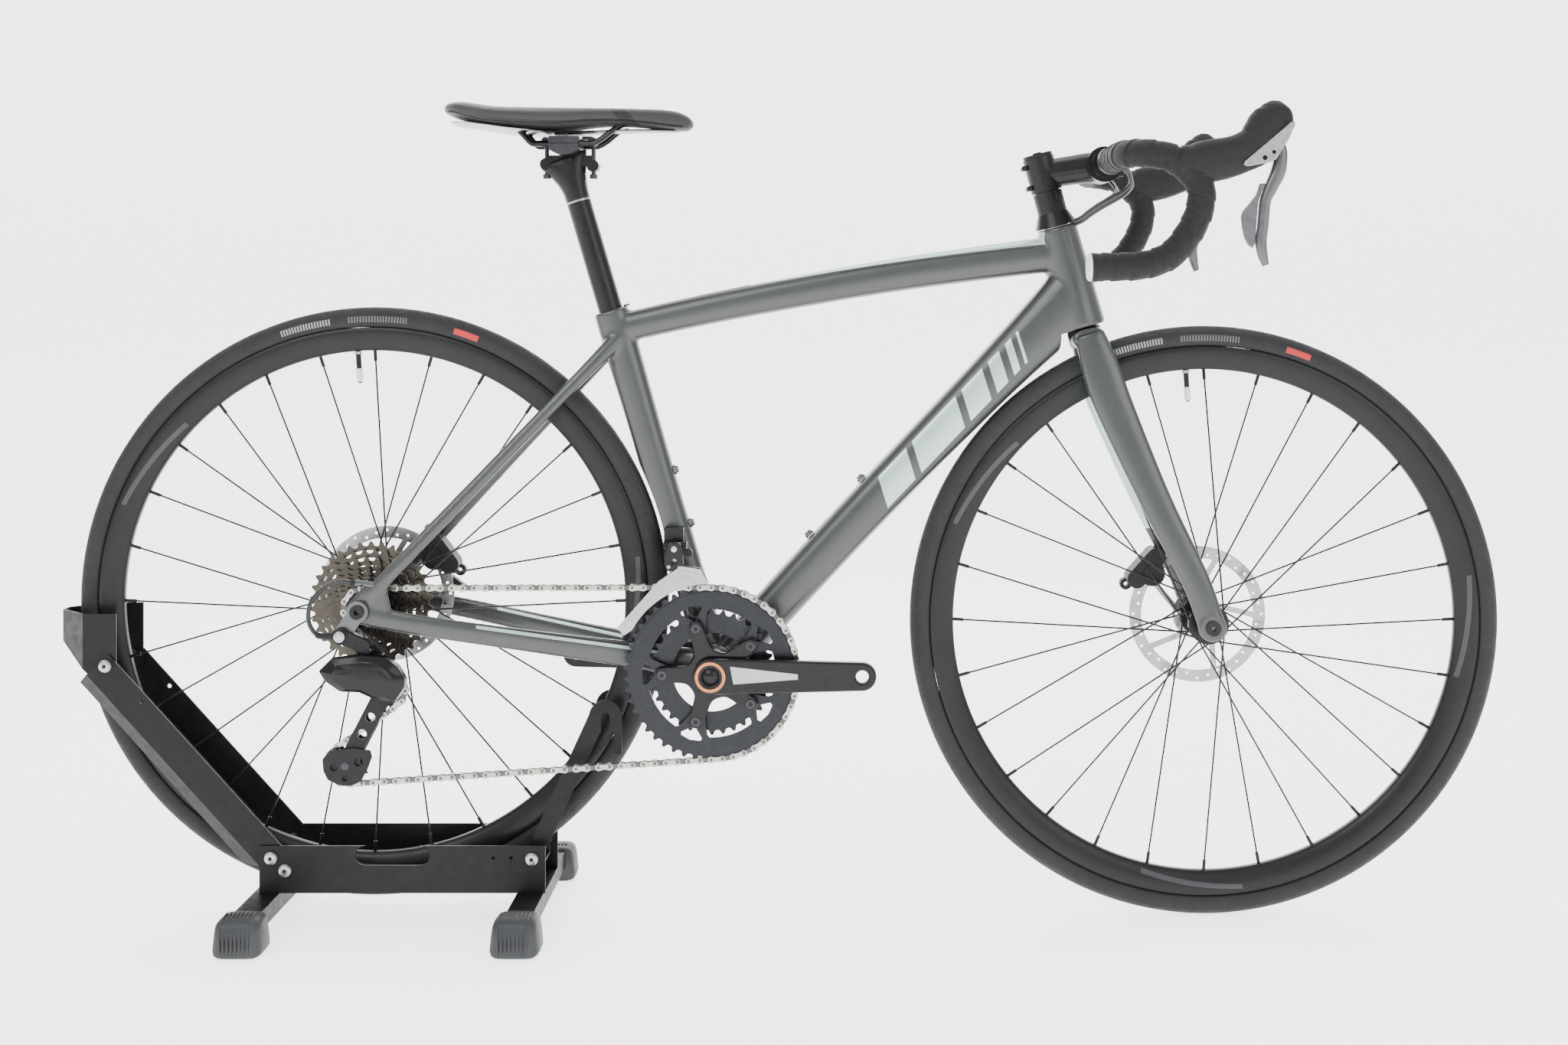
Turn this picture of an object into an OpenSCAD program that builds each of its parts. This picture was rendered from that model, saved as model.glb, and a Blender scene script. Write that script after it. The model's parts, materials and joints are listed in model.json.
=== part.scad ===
// Road bicycle held upright by its rear wheel in a folding floor stand.
// Millimetres. +X points to the front wheel, +Y to the non-drive side, +Z up.
// The origin is on the floor, under the middle of the assembly's box.
// Modules work in bicycle coordinates: x is counted from the rear axle.

/* [Wheels] */
// Outer radius of both tyres
tyre_r = 340; // [334:1:352]
// Width of both tyres
tyre_w = 28; // [25:1:32]
// Depth of the rims, spoke face to rim edge
rim_depth = 27; // [20:1:40]
// Outer width of the rims
rim_w = 22; // [19:1:25]
// Spokes in each wheel
spoke_count = 28; // [20, 24, 28, 32]
// Radius of a spoke
spoke_r = 1; // [0.8:0.1:1.4]
// Radius of the brake rotors
rotor_r = 80; // [70:1:81]

/* [Frame] */
// Distance between the axles along the floor
wheelbase = 958; // [940:1:1010]
// Rear axle to bottom bracket along the floor
chainstay_run = 393; // [388:1:425]
// Height of the bottom bracket
bb_height = 288; // [270:1:300]
// Lean of the seat tube from upright
seat_tilt = 16.4; // [14:0.1:18]
// Length of the seat tube from the bottom bracket
seat_tube_len = 427; // [400:1:520]
// Lean of the steering axis from upright
head_tilt = 14.8; // [14:0.1:19]
// Length of the head tube
head_len = 121; // [90:1:200]
// Radius of the seatpost
post_r = 14; // [13.6:0.1:15.8]
// Inner width between the rear dropouts
rear_gap = 142; // [135:1:148]
// Inner width between the fork ends
front_gap = 100; // [98:1:112]

/* [Fork] */
// Axle to lower head race along the steering axis
fork_len = 362; // [355:1:390]
// Forward offset of the front axle from the steering axis
fork_rake = 48.3; // [40:0.1:55]
// Radius of the steerer
steerer_r = 14.3; // [12.7:0.1:19]

/* [Cockpit] */
// Length of the stem
stem_len = 70; // [60:10:110]
// Rise of the stem above the floor
stem_rise = 8.8; // [0:0.1:20]
// Spacers under the stem
spacer_count = 5; // [1:1:6]
// Half width of the handlebar at the hoods
bar_half = 200; // [190:5:220]
// Forward reach of the handlebar
bar_reach = 78; // [70:1:90]
// Drop of the handlebar
bar_drop = 121; // [110:1:135]
// Radius of the handlebar tube
bar_r = 11.9; // [11:0.1:13]
// Thickness of the bar tape
tape_t = 3; // [2:0.5:4]

/* [Saddle] */
// Length of the saddle
saddle_len = 284; // [240:1:290]
// Width of the saddle
saddle_w = 146; // [130:1:170]
// Height of the saddle's back above the seatpost head
saddle_rise = 55; // [50:1:65]
// Bottom bracket to seatpost head along the seat tube
seat_height = 618; // [560:1:700]

/* [Drive] */
// Length of the crank arms
crank_len = 170; // [165:2.5:175]
// Teeth on the large chainring
big_teeth = 48; // [44:4:52]
// Teeth on the small chainring
small_teeth = 34; // [30:1:36]
// Teeth on the smallest cog
cog_teeth = 11; // [11:1:12]
// Distance between neighbouring cogs
cog_pitch = 3.55; // [3.4:0.05:3.6]
// Radius of the pedal threads, 9/16 inch
pedal_r = 7.14; // [7:0.01:7.3]
// Distance of the chain's plane from the middle of the bicycle
chain_y = 54; // [53:0.5:56]

/* [Stand] */
// Height of the lifted rear tyre above the floor
lift = 21.6; // [18:0.1:30]
// Thickness of the sheet steel
sheet_t = 2; // [1.5:0.5:3]
// Outer width of the base channel
base_w = 94; // [90:1:110]
// Length of the base channel
base_len = 324; // [310:1:360]
// Distance from floor to the underside of the base channel
base_z = 37.4; // [35:0.1:42]
// Height of the base channel's walls
base_h = 53.6; // [48:0.1:60]
// Length of the cross tubes with their caps
cross_len = 314; // [300:2:360]

/* [Hidden] */
$fn = 64;
e = 0.05;          // overreach of cuts
gap = 0.3;         // clearance between pieces that move
run_fit = 0.05;    // radial clearance of shafts in their bores
chain_pitch = 12.7;

// Driving points
stand_back = -358;                            // rearmost point of the wheel cup
origin_x = -(stand_back + wheelbase + tyre_r) / 2;
rear_axle_p = [0, 0, tyre_r + lift];
front_axle_p = [wheelbase, 0, tyre_r];
bb = [chainstay_run, 0, bb_height];
steer_up = [-sin(head_tilt), 0, cos(head_tilt)];
steer_fwd = [cos(head_tilt), 0, sin(head_tilt)];
seat_up = [-sin(seat_tilt), 0, cos(seat_tilt)];
seat_fwd = [cos(seat_tilt), 0, sin(seat_tilt)];
function steer(s, f = 0, y = 0) =
    front_axle_p + (f - fork_rake) * steer_fwd + s * steer_up + [0, y, 0];
function seat(s, f = 0, y = 0) = bb + s * seat_up + f * seat_fwd + [0, y, 0];
head_top = fork_len + head_len;
cover_h = 16;
spacer_h = 5;
stem_h = 40;
stem_s = head_top + cover_h + spacer_count * spacer_h + stem_h / 2 + 1;
stem_dir = [cos(stem_rise), 0, sin(stem_rise)];
bar_c = steer(stem_s) + stem_len * stem_dir;
rim_r = tyre_r - 23.5;               // edge of the rim, under the tyre
rim_in_r = rim_r - rim_depth;
axle_r = 6;
hub_r = 17;
drop_t = 7;                          // thickness of the frame and fork ends
rear_drop_y = rear_gap / 2;
front_drop_y = front_gap / 2;
rear_rotor_y = rear_drop_y - 16;
front_rotor_y = front_drop_y - 12;
spindle_r = 12;
arm_y = chain_y + 11;                // inner face of the crank arms
arm_t = 12;
ring_gap = 7;
lever_c = bar_c + [150, 0, -2];      // pivot of the brake levers, less its y
post_head = seat(seat_height);
rail_z = post_head[2] + 8;
rail_y = 22;

// Points and lofts. A station is [x, y, z, half width, half height].
function unit(v) = v / norm(v);
function xyz(s) = [s[0], s[1], s[2]];
function at(p, w, h) = [p[0], p[1], p[2], w, h];
function mix(a, b, t) = a + (b - a) * t;
function hermite(a, b, c, d, t) = 0.5 * (2 * b + (c - a) * t
    + (2 * a - 5 * b + 4 * c - d) * t * t + (3 * b - a - 3 * c + d) * t * t * t);
function smooth(s, m) = [
    for (i = [0 : len(s) - 2]) for (j = [0 : m - 1])
        hermite(s[max(i - 1, 0)], s[i], s[i + 1], s[min(i + 2, len(s) - 1)], j / m),
    s[len(s) - 1]];
function tangent(s, i) = unit(xyz(s[min(i + 1, len(s) - 1)]) - xyz(s[max(i - 1, 0)]));
function sides(s, ref, i = 0, found = []) = i == len(s) ? found :
    let (t = tangent(s, i), r = i == 0 ? ref : found[i - 1])
    sides(s, ref, i + 1, concat(found, [unit(r - (r * t) * t)]));
function swell(c, q) = sign(c) * pow(abs(c), q);
function ring_pts(s, t, side, n, q) = let (up = cross(t, side))
    [for (k = [0 : n - 1]) xyz(s) + swell(cos(360 * k / n), q) * s[3] * side
        + swell(sin(360 * k / n), q) * s[4] * up];
module loft(stations, m = 3, n = 16, q = 1, ref = [0, 1, 0]) {
    s = smooth(stations, m);
    sd = sides(s, ref);
    rings = len(s);
    points = [for (i = [0 : rings - 1]) each ring_pts(s[i], tangent(s, i), sd[i], n, q)];
    quads = [for (i = [0 : rings - 2]) for (k = [0 : n - 1]) let (k2 = (k + 1) % n)
        each [[i * n + k, (i + 1) * n + k, i * n + k2],
              [i * n + k2, (i + 1) * n + k, (i + 1) * n + k2]]];
    polyhedron(points, concat(quads, [[for (k = [0 : n - 1]) k],
        [for (k = [0 : n - 1]) rings * n - 1 - k]]));
}
// One mesh out of many lofts
module shell() { resize([0, 0, 0]) union() children(); }
module bike() { translate([origin_x, 0, 0]) children(); }
module mirrored() { children(); mirror([0, 1, 0]) children(); }
// Cylinder across the bicycle, from y0 to y1, at point p
module across(p, r, y0, y1) {
    translate([p[0], y0, p[2]]) rotate([-90, 0, 0]) cylinder(r = r, h = y1 - y0);
}
// Flat outline given in x and z, from y0 to y1
module plate(y0, y1) {
    translate([0, y1, 0]) rotate([90, 0, 0]) linear_extrude(y1 - y0) children();
}
// Turns children about the Y axis of a wheel or ring
module spun(p, y = 0) { translate([p[0], y, p[2]]) rotate([-90, 0, 0]) children(); }
module on_steerer(s) { translate(steer(s)) rotate([0, -head_tilt, 0]) children(); }
module on_seat(s) { translate(seat(s)) rotate([0, -seat_tilt, 0]) children(); }
module bar2d(a, b, w) {
    d = b - a;
    translate(a) rotate(atan2(d[1], d[0])) translate([0, -w / 2]) square([norm(d), w]);
}
module strip2d(a, b, w) {
    bar2d(a, b, w);
    translate(a) circle(w / 2);
    translate(b) circle(w / 2);
}

// ---------------------------------------------------------------- stand
base_x0 = -120;
base_x1 = base_x0 + base_len;
base_top = base_z + base_h;
base_y = base_w / 2;
rear_tube_x = -112;
front_tube_x = base_x1 - 17;
tube_w = 30;
tube_h = 20;
cap_w = 57;
cap_h = base_z + 4;
cap_l = 38;
guide_p = [base_x1 - 15, 0, base_top - 14.5];
guide_y = 29;
guide_top = [81, 157];               // arch centre from the pivot
arm_a = [-94.8, base_top - 1.3];     // lower end of the arm's front edge
arm_b = [-283.7, 298.5];             // upper end
arm_wall = 34;
arm_y2 = base_y - sheet_t - gap;     // outer face of the arm
cup_bolt = [-295, 0, 294.6];
cup_top = 353;

module stand_base() color("#202224") bike() difference() {
    translate([base_x0, -base_y, base_z]) cube([base_len, base_w, base_h]);
    translate([base_x0 - 1, sheet_t - base_y, base_z + sheet_t])
        cube([base_len + 2, base_w - 2 * sheet_t, base_h]);
    // slot that the tyre dips through
    translate([base_x0 + 9, -20, base_z - 1]) cube([225, 40, 5]);
    // hand hole in the drive-side wall
    plate(-base_y - 1, -base_y + sheet_t + 1) {
        translate([0, base_top - 22]) square([62, 30]);
        translate([0, base_top - 11]) circle(11);
        translate([62, base_top - 11]) circle(11);
    }
    tube_bolts() cylinder(r = 3.2, h = 2 * tube_h);
    for (dx = [-44, -24]) across(guide_p + [dx, 0, 0.6], 2.2, -base_y - 1, -base_y + 3);
    across(guide_p, 4.1, -base_y - 1, base_y + 1);
    for (p = [[-106.5, 0, base_top - 13.5], [-90.3, 0, base_top - 27.5]])
        across(p, 4.1, -base_y - 1, base_y + 1);
}
// Places of the bolts that hold the base on its cross tubes
module tube_bolts() for (x = [rear_tube_x, front_tube_x]) mirrored()
    translate([x, 25, base_z - tube_h + 3]) children();
module stand_cross_tubes() color("#2b2d30") bike() difference() {
    for (x = [rear_tube_x, front_tube_x]) translate([x - tube_w / 2, -cross_len / 2 + 4, base_z - tube_h])
        difference() {
            cube([tube_w, cross_len - 8, tube_h]);
            translate([sheet_t, -1, sheet_t])
                cube([tube_w - 2 * sheet_t, cross_len, tube_h - 2 * sheet_t]);
        }
    tube_bolts() cylinder(r = 3.2, h = 2 * tube_h);
    // relief under the tyre
    across(rear_axle_p, tyre_r + 3, -tyre_w, tyre_w);
}
module foot_cap() {
    // a rounded block with ribs, hollow where the tube enters
    difference() {
        hull() for (x = [-1, 1]) {
            translate([x * (cap_w / 2 - 8), 2, 2]) cylinder(r = 8, h = cap_h - 8, $fn = 24);
            translate([x * (cap_w / 2 - 8), cap_l - 6, 0]) cylinder(r = 6, h = cap_h - 4, $fn = 24);
            translate([x * (cap_w / 2 - 10), cap_l - 14, cap_h - 2]) cylinder(r = 4, h = 2, $fn = 24);
            translate([x * (cap_w / 2 - 6), 2, 0]) cylinder(r = 6, h = 2, $fn = 24);
        }
        translate([-tube_w / 2 - gap, -20, base_z - tube_h - gap])
            cube([tube_w + 2 * gap, cap_l + 16 + gap, tube_h + 2 * gap]);
    }
}
module stand_feet() color("#5d6063") bike()
    for (x = [rear_tube_x, front_tube_x]) mirrored()
        translate([x, cross_len / 2 - cap_l, 0]) foot_cap();
module stand_rear_arm() color("#1d1f21") bike() {
    d = arm_b - arm_a;
    reach = norm(d);
    lean = atan2(-d[0], d[1]);
    difference() {
        // channel profile drawn across the arm, then drawn out along it
        translate([arm_a[0], 0, arm_a[1]]) rotate([0, -lean, 0]) translate([0, 0, -36])
            linear_extrude(reach + 48) mirrored() polygon([
                [0, arm_y2], [-arm_wall, arm_y2], [-arm_wall - 16, arm_y2 - 12],
                [-arm_wall - 15, arm_y2 - 13.4], [-arm_wall + 0.6, arm_y2 - sheet_t],
                [0, arm_y2 - sheet_t]]);
        translate([-300, -60, 0]) cube([300, 120, base_z + 4]);
        translate([-160, -60, 0]) cube([160 + base_x0 + 0.5, 120, base_z + 30]);
        across(cup_bolt, 4.1, -60, 60);
        for (p = [[-106.5, 0, base_top - 13.5], [-90.3, 0, base_top - 27.5]])
            across(p, 4.1, -60, 60);
        across([-254, 0, 254], 2.5, -60, 60);
    }
}
module stand_wheel_cup() color("#242628") bike() {
    y = arm_y2 - sheet_t - gap;
    nose = 9;
    difference() {
        translate([0, 0, 278]) linear_extrude(cup_top - 278) difference() {
            polygon([[-284, -y], [-322, -y], [stand_back, -nose], [stand_back, nose],
                [-322, y], [-284, y]]);
            polygon([[-283, -y + sheet_t], [-321.3, -y + sheet_t], [stand_back + sheet_t, 1 - nose],
                [stand_back + sheet_t, nose - 1], [-321.3, y - sheet_t], [-283, y - sheet_t]]);
        }
        // slanted lower edge
        plate(-60, 60) polygon([[-400, 270], [-300, 270], [-322, 290], [stand_back, 317], [-400, 330]]);
        across(cup_bolt, 4.1, -60, 60);
    }
}
module button_bolt(p, y, shaft) {
    // head outside, shank and nut inside
    across(p, 3.9, y - shaft, y);
    across(p, 7.2, y, y + 2.4);
    across(p, 4.9, y + 2.4, y + 3.8);
}
module stand_bolts() color("#c9cccf") bike() {
    tube_bolts() cylinder(r = 3, h = tube_h + 3);
    tube_bolts() translate([0, 0, tube_h + sheet_t - 3]) cylinder(r = 5.2, h = 3);
    mirrored() side_bolts();
}
module side_bolts() {
    button_bolt(guide_p, base_y, base_y - guide_y + 1.5);
    for (p = [[-106.5, 0, base_top - 13.5], [-90.3, 0, base_top - 27.5]])
        button_bolt(p, base_y, 8);
    button_bolt(cup_bolt, arm_y2, 8);
}
module stand_front_guide() color("#191b1d") bike() translate(guide_p) difference() {
    union() {
        mirrored() plate(guide_y, guide_y + sheet_t) {
            strip2d([0, 0], guide_top - [9, 0], 20);
            translate(guide_top) circle(19);
            translate(guide_top + [10, -42]) square([9, 42]);
        }
        // strap under the tyre that joins both sides
        translate([-8, -guide_y - e, -16]) cube([16, 2 * guide_y + 2 * e, 2]);
        mirrored() translate([-8, guide_y, -16]) cube([16, sheet_t, 12]);
    }
    plate(-60, 60) {
        translate(guide_top) circle(5);
        bar2d(guide_top, guide_top + [0, -60], 10);
    }
    across([0, 0, 0], 3.9 + run_fit, -60, 60);
}

// ---------------------------------------------------------------- frame
stay_low = rear_axle_p + [10, 0, -6];
stay_high = rear_axle_p + [9, 0, 14];
stay_top = seat(seat_tube_len - 34);
stay_tyre_y = tyre_w / 2 + 14;
drop_y = rear_drop_y + drop_t / 2;
crown_r = 36;
module frame() color("#6f7672") bike() shell() difference() {
    union() {
        // seat tube
        loft([at(seat(-6), 20, 20), at(seat(60), 17, 19), at(seat(250), 16.5, 18.5),
            at(seat(seat_tube_len - 50), 17, 20), at(seat(seat_tube_len), 18, 20)], q = 0.85);
        // top tube
        loft([for (t = [0, 0.25, 0.6, 0.9, 1]) at(
            mix(seat(seat_tube_len - 23), steer(head_top - 32), t) + [0, 0, 34 * t * (1 - t)],
            16 + 3 * t, 17.5 + 3.5 * t)], q = 0.8);
        // down tube
        loft([for (t = [0, 0.2, 0.45, 0.75, 0.92, 1]) at(
            mix(bb + [0, 0, -10], steer(fork_len + 38), t) + [0, 0, 30 * t * (1 - t)],
            25, 24 + 4 * t + 10 * pow(t, 6))], q = 0.75);
        on_steerer(fork_len) cylinder(r1 = 27, r2 = 23.3, h = head_len, $fn = 40);
        across(bb, 25, -43, 43, $fn = 40);
        mirrored() {
            // chain stay
            loft([at(stay_low + [0, drop_y, 0], 4.5, 12),
                at(mix(stay_low, bb, 0.2) + [0, drop_y - 3, 0], 5, 12),
                at(mix(stay_low, bb, 0.5) + [0, drop_y - 25, 0], 7, 13),
                at(mix(stay_low, bb, 0.8) + [0, stay_tyre_y - 2, 0], 7.5, 16),
                at(mix(stay_low, bb, 1) + [0, 30, 0], 10, 21)], q = 0.85, n = 14);
            // seat stay
            loft([at(stay_high + [0, drop_y, 0], 4.5, 9),
                at(mix(stay_high, stay_top, 0.16) + [0, drop_y - 2, 0], 5, 8),
                at(mix(stay_high, stay_top, 0.5) + [0, drop_y - 24, 0], 6, 7.5),
                at(mix(stay_high, stay_top, 0.86) + [0, stay_tyre_y, 0], 6.5, 8),
                at(mix(stay_high, stay_top, 1) + [0, 12, 0], 7, 10)], q = 0.9, n = 14);
            // dropout, with the hanger's ear below it
            across(rear_axle_p, 15, rear_drop_y, rear_drop_y + drop_t, $fn = 40);
            plate(rear_drop_y + 1, rear_drop_y + drop_t) polygon([for (p = [[-12, -8], [2, -15],
                [34, -17], [36, 0], [30, 30], [6, 28], [-13, 6]]) [p[0], p[1] + rear_axle_p[2]]]);
        }
        // bridges in front of and above the tyre
        across(mix(stay_low, bb, 0.93) + [0, 0, 4], 9, -30, 30, $fn = 24);
        for (s = [0.92, 1]) across(mix(stay_high, stay_top, 1) + [4 * s, 0, 6 * s], 9, -16, 16, $fn = 24);
    }
    on_steerer(fork_len - 1) cylinder(r = 20.9, h = head_len + 2, $fn = 48);
    // room for the fork's crown to turn in
    on_steerer(fork_len - 60) cylinder(r = crown_r, h = 60 - gap, $fn = 60);
    on_seat(80) cylinder(r = post_r + 0.5, h = seat_tube_len, $fn = 48);
    across(bb, 20.9, -50, 50, $fn = 48);
    across(rear_axle_p, axle_r + 0.4, -100, 100, $fn = 32);
    // room for the tyre
    across(rear_axle_p, tyre_r + 5, -tyre_w / 2 - 3, tyre_w / 2 + 3, $fn = 120);
}
module bearing(r_in, r_out, h) difference() {
    cylinder(r = r_out, h = h);
    translate([0, 0, -1]) cylinder(r = r_in, h = h + 2);
}
module bearings() color("#9a9da0") bike() {
    on_steerer(fork_len + 0.4) bearing(steerer_r + run_fit, 20.8, 7);
    on_steerer(head_top - 7.4) bearing(steerer_r + run_fit, 20.8, 7);
    mirrored() spun(bb, 32) difference() {
        union() {
            cylinder(r = 20.8, h = 11.3);
            translate([0, 0, 11.3]) cylinder(r = 22.5, h = 2.2);
        }
        translate([0, 0, -1]) cylinder(r = spindle_r + run_fit, h = 20);
    }
}
hanger_bolt = rear_axle_p + [-17.4, 0, -25.9];
module frame_hardware() color("#b9bcbf") bike() {
    // derailleur hanger, on the outside of the drive-side dropout
    color("#303234") plate(-rear_drop_y - drop_t - 5.4, -rear_drop_y - drop_t - 0.1) difference() {
        union() {
            strip2d([rear_axle_p[0], rear_axle_p[2]], [hanger_bolt[0], hanger_bolt[2]], 19);
            translate([rear_axle_p[0], rear_axle_p[2]]) circle(12);
        }
        translate([rear_axle_p[0], rear_axle_p[2]]) circle(axle_r + run_fit);
        translate([hanger_bolt[0], hanger_bolt[2]]) circle(5);
    }
    // bottle bolts on the seat tube and the down tube
    for (s = [165, 229]) on_seat(s) rotate([0, 90, 0]) translate([0, 0, 17.8]) bottle_bolt();
    lean = atan2(steer(fork_len + 38)[2] - bb[2] + 10, steer(fork_len + 38)[0] - bb[0]);
    for (t = [0.31, 0.455]) translate(mix(bb + [0, 0, -10], steer(fork_len + 38), t)
        + [0, 0, 30 * t * (1 - t)]) rotate([0, -lean, 0]) translate([0, 0, 24.6 + 4 * t]) bottle_bolt();
    // sleeve where the cable leaves the stay
    shell() loft([for (p = [[20, 0, 28], [8, -3, 31], [-2.8, -5, 32]])
        at(rear_axle_p + [0, -drop_y, 0] + p, 3.6, 3.6)], n = 12);
    // wedge bolt of the seatpost, in the top tube's root
    on_seat(seat_tube_len - 0.5) translate([19, 0, 0]) cylinder(r = 3.4, h = 2.4);
}
module bottle_bolt() {
    cylinder(r = 5.6, h = 3);
    translate([0, 0, 3]) difference() {
        cylinder(r = 4, h = 2.6);
        translate([0, 0, 1]) cylinder(r = 1.9, h = 3, $fn = 6);
    }
}
module rear_axle() color("#1a1b1c") bike() difference() {
    union() {
        across(rear_axle_p, axle_r, -rear_drop_y - drop_t - 5, rear_drop_y + drop_t);
        across(rear_axle_p, 9.5, rear_drop_y + drop_t + 0.1, rear_drop_y + drop_t + 6);
        across(rear_axle_p, 8, -rear_drop_y - drop_t - 8, -rear_drop_y - drop_t - 5.4);
    }
    across(rear_axle_p, 3.5, -rear_drop_y - drop_t - 9, -rear_drop_y - drop_t + 3, $fn = 6);
    across(rear_axle_p, 3.5, rear_drop_y + drop_t - 3, rear_drop_y + drop_t + 7, $fn = 6);
}
pad_gap = 0.3;
rotor_t = 1.8;
module caliper(y, reach, out = 15) {
    // body straddles the rotor; reach is how far its slot sinks over the rim of the rotor
    difference() {
        union() {
            plate(y - 15, y + out) {
                strip2d([-17, 6], [17, 6], 22);
                translate([0, -3]) circle(15);
            }
            for (x = [-30, 30]) across([x, 0, 8], 7, y + 3, y + out);
            plate(y + 5, y + out) bar2d([-30, 8], [30, 8], 9);
        }
        translate([-40, y - 5, -30]) cube([80, 10, 30 + reach]);
        for (x = [-30, 30]) across([x, 0, 8], 2.6, y, y + 16);
    }
    across([0, 0, -3], 10, y - 16.8, y - 14.9);
}
module pad(y, side) {
    // friction block and backing plate on one side of the rotor
    inner = rotor_t / 2 + pad_gap;
    plate(side > 0 ? y + inner : y - inner - 3.4, side > 0 ? y + inner + 3.4 : y - inner)
        bar2d([-11, -5], [11, -5], 13);
    plate(side > 0 ? y + inner : y - inner - 1.4, side > 0 ? y + inner + 1.4 : y - inner)
        bar2d([-4, 3], [4, 3], 10);
}
rear_cal_a = 37;
front_cal_a = 138;
module rear_cal() translate(rear_axle_p) rotate([0, 90 - rear_cal_a, 0])
    translate([0, 0, rotor_r - 3]) children();
module front_cal() translate(front_axle_p) rotate([0, 90 - front_cal_a, 0])
    translate([0, 0, rotor_r - 3]) children();
module rear_caliper() color("#26282a") bike() {
    rear_cal() caliper(rear_rotor_y, 9, rear_gap / 2 - rear_rotor_y - 6.2);
    // foot that bolts to the chain stay
    plate(rear_rotor_y + 5, rear_rotor_y + 15) difference() {
        strip2d([66, rear_axle_p[2] + 22], [88, rear_axle_p[2] + 5], 9);
        translate([rear_axle_p[0], rear_axle_p[2]]) circle(rotor_r - 2);
    }
}
module rear_pad_left() color("#8a6a45") bike() rear_cal() pad(rear_rotor_y, 1);
module rear_pad_right() color("#8a6a45") bike() rear_cal() pad(rear_rotor_y, -1);
module front_caliper() color("#26282a") bike() difference() {
    front_cal() caliper(front_rotor_y, 9);
    // flat against the back of the blade
    plate(front_rotor_y + 5.1, front_rotor_y + 40) polygon([flat(steer(175, 1)), flat(steer(152, 5.1)),
        flat(steer(56, 26.1)), flat(steer(20, 30)), flat(steer(20, 90)), flat(steer(175, 90))]);
}
module front_pad_left() color("#8a6a45") bike() front_cal() pad(front_rotor_y, 1);
module front_pad_right() color("#8a6a45") bike() front_cal() pad(front_rotor_y, -1);

// ---------------------------------------------------------------- drivetrain
function pitch_r(teeth) = chain_pitch / 2 / sin(180 / teeth);
roller_r = 3.85;
tooth_t = 1.6;
module toothed(teeth, inner) {
    // a tooth stands between each two rollers; a roller rests at angle 0
    r = pitch_r(teeth);
    difference() {
        union() {
            circle(r - roller_r - 0.2, $fn = 120);
            for (k = [0 : teeth - 1]) rotate((k + 0.5) * 360 / teeth)
                polygon([[r - 8, -2.9], [r - 2.5, -2.1], [r + 0.8, -1.5], [r + 3, -0.5],
                    [r + 3, 0.5], [r + 0.8, 1.5], [r - 2.5, 2.1], [r - 8, 2.9]]);
        }
        circle(inner, $fn = 96);
    }
}
big_r = pitch_r(big_teeth);
cog_r = pitch_r(cog_teeth);
pulley_r = pitch_r(11);
guide_c = rear_axle_p + [25, 0, -92];
tension_c = rear_axle_p + [-18.5, 0, -176];
function flat(p) = [p[0], p[2]];
// Turn of each toothed wheel that lines its teeth up with the chain
function heading(v) = atan2(v[1], v[0]);
// Left normal of the line that touches two circles; turn is 1 for a circle on its left
function touch(a, ra, ta, b, rb, tb) = let (d = flat(b) - flat(a), k = (ta * ra - tb * rb) / norm(d),
    th = heading(d) + asin(k)) [-sin(th), cos(th)];
n_top = touch(bb, big_r, 1, rear_axle_p, cog_r, 1);
n_cog = touch(rear_axle_p, cog_r, 1, guide_c, pulley_r, -1);
n_cage = touch(guide_c, pulley_r, -1, tension_c, pulley_r, 1);
n_low = touch(tension_c, pulley_r, 1, bb, big_r, 1);
function foot(c, r, turn, n) = flat(c) - turn * r * n;
chain_pts = [foot(bb, big_r, 1, n_top), foot(rear_axle_p, cog_r, 1, n_top),
    foot(rear_axle_p, cog_r, 1, n_cog), foot(guide_c, pulley_r, -1, n_cog),
    foot(guide_c, pulley_r, -1, n_cage), foot(tension_c, pulley_r, 1, n_cage),
    foot(tension_c, pulley_r, 1, n_low), foot(bb, big_r, 1, n_low)];
big_phase = heading(chain_pts[0] - flat(bb));
cog_phase = heading(chain_pts[1] - flat(rear_axle_p));
guide_phase = heading(chain_pts[3] - flat(guide_c));
tension_phase = heading(chain_pts[5] - flat(tension_c));
// Rollers on one arc, from angle a0 over sweep s
module arc_rollers(c, r, a0, s, teeth) {
    n = floor(abs(s) * teeth / 360 + 0.001);
    for (k = [0 : n]) translate(flat(c) + r * [cos(a0 + sign(s) * k * 360 / teeth),
        sin(a0 + sign(s) * k * 360 / teeth)]) circle(roller_r, $fn = 20);
}
function rest(s, teeth) = (s * teeth / 360 - floor(s * teeth / 360 + 0.001)) * chain_pitch;
module run_rollers(a, b, rest_a, rest_b) {
    long = norm(b - a);
    t0 = (chain_pitch - rest_a) / long;
    t1 = 1 - (chain_pitch - rest_b) / long;
    n = round(long * (t1 - t0) / chain_pitch);
    for (k = [0 : n]) translate(mix(a, b, mix(t0, t1, k / n))) circle(roller_r, $fn = 20);
}
module arc_band(c, r, a0, s, w) translate(flat(c)) rotate(min(a0, a0 + s)) intersection() {
    difference() {
        circle(r + w / 2, $fn = 120);
        circle(r - w / 2, $fn = 120);
    }
    sector(r * 3, abs(s));
}
module sector(r, s) polygon(concat([[0, 0]], [for (k = [0 : 8]) r * [cos(s * k / 8), sin(s * k / 8)]]));
function sweep_ccw(c, a, b) = let (s = heading(b - flat(c)) - heading(a - flat(c))) s < 0 ? s + 360 : s;
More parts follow.
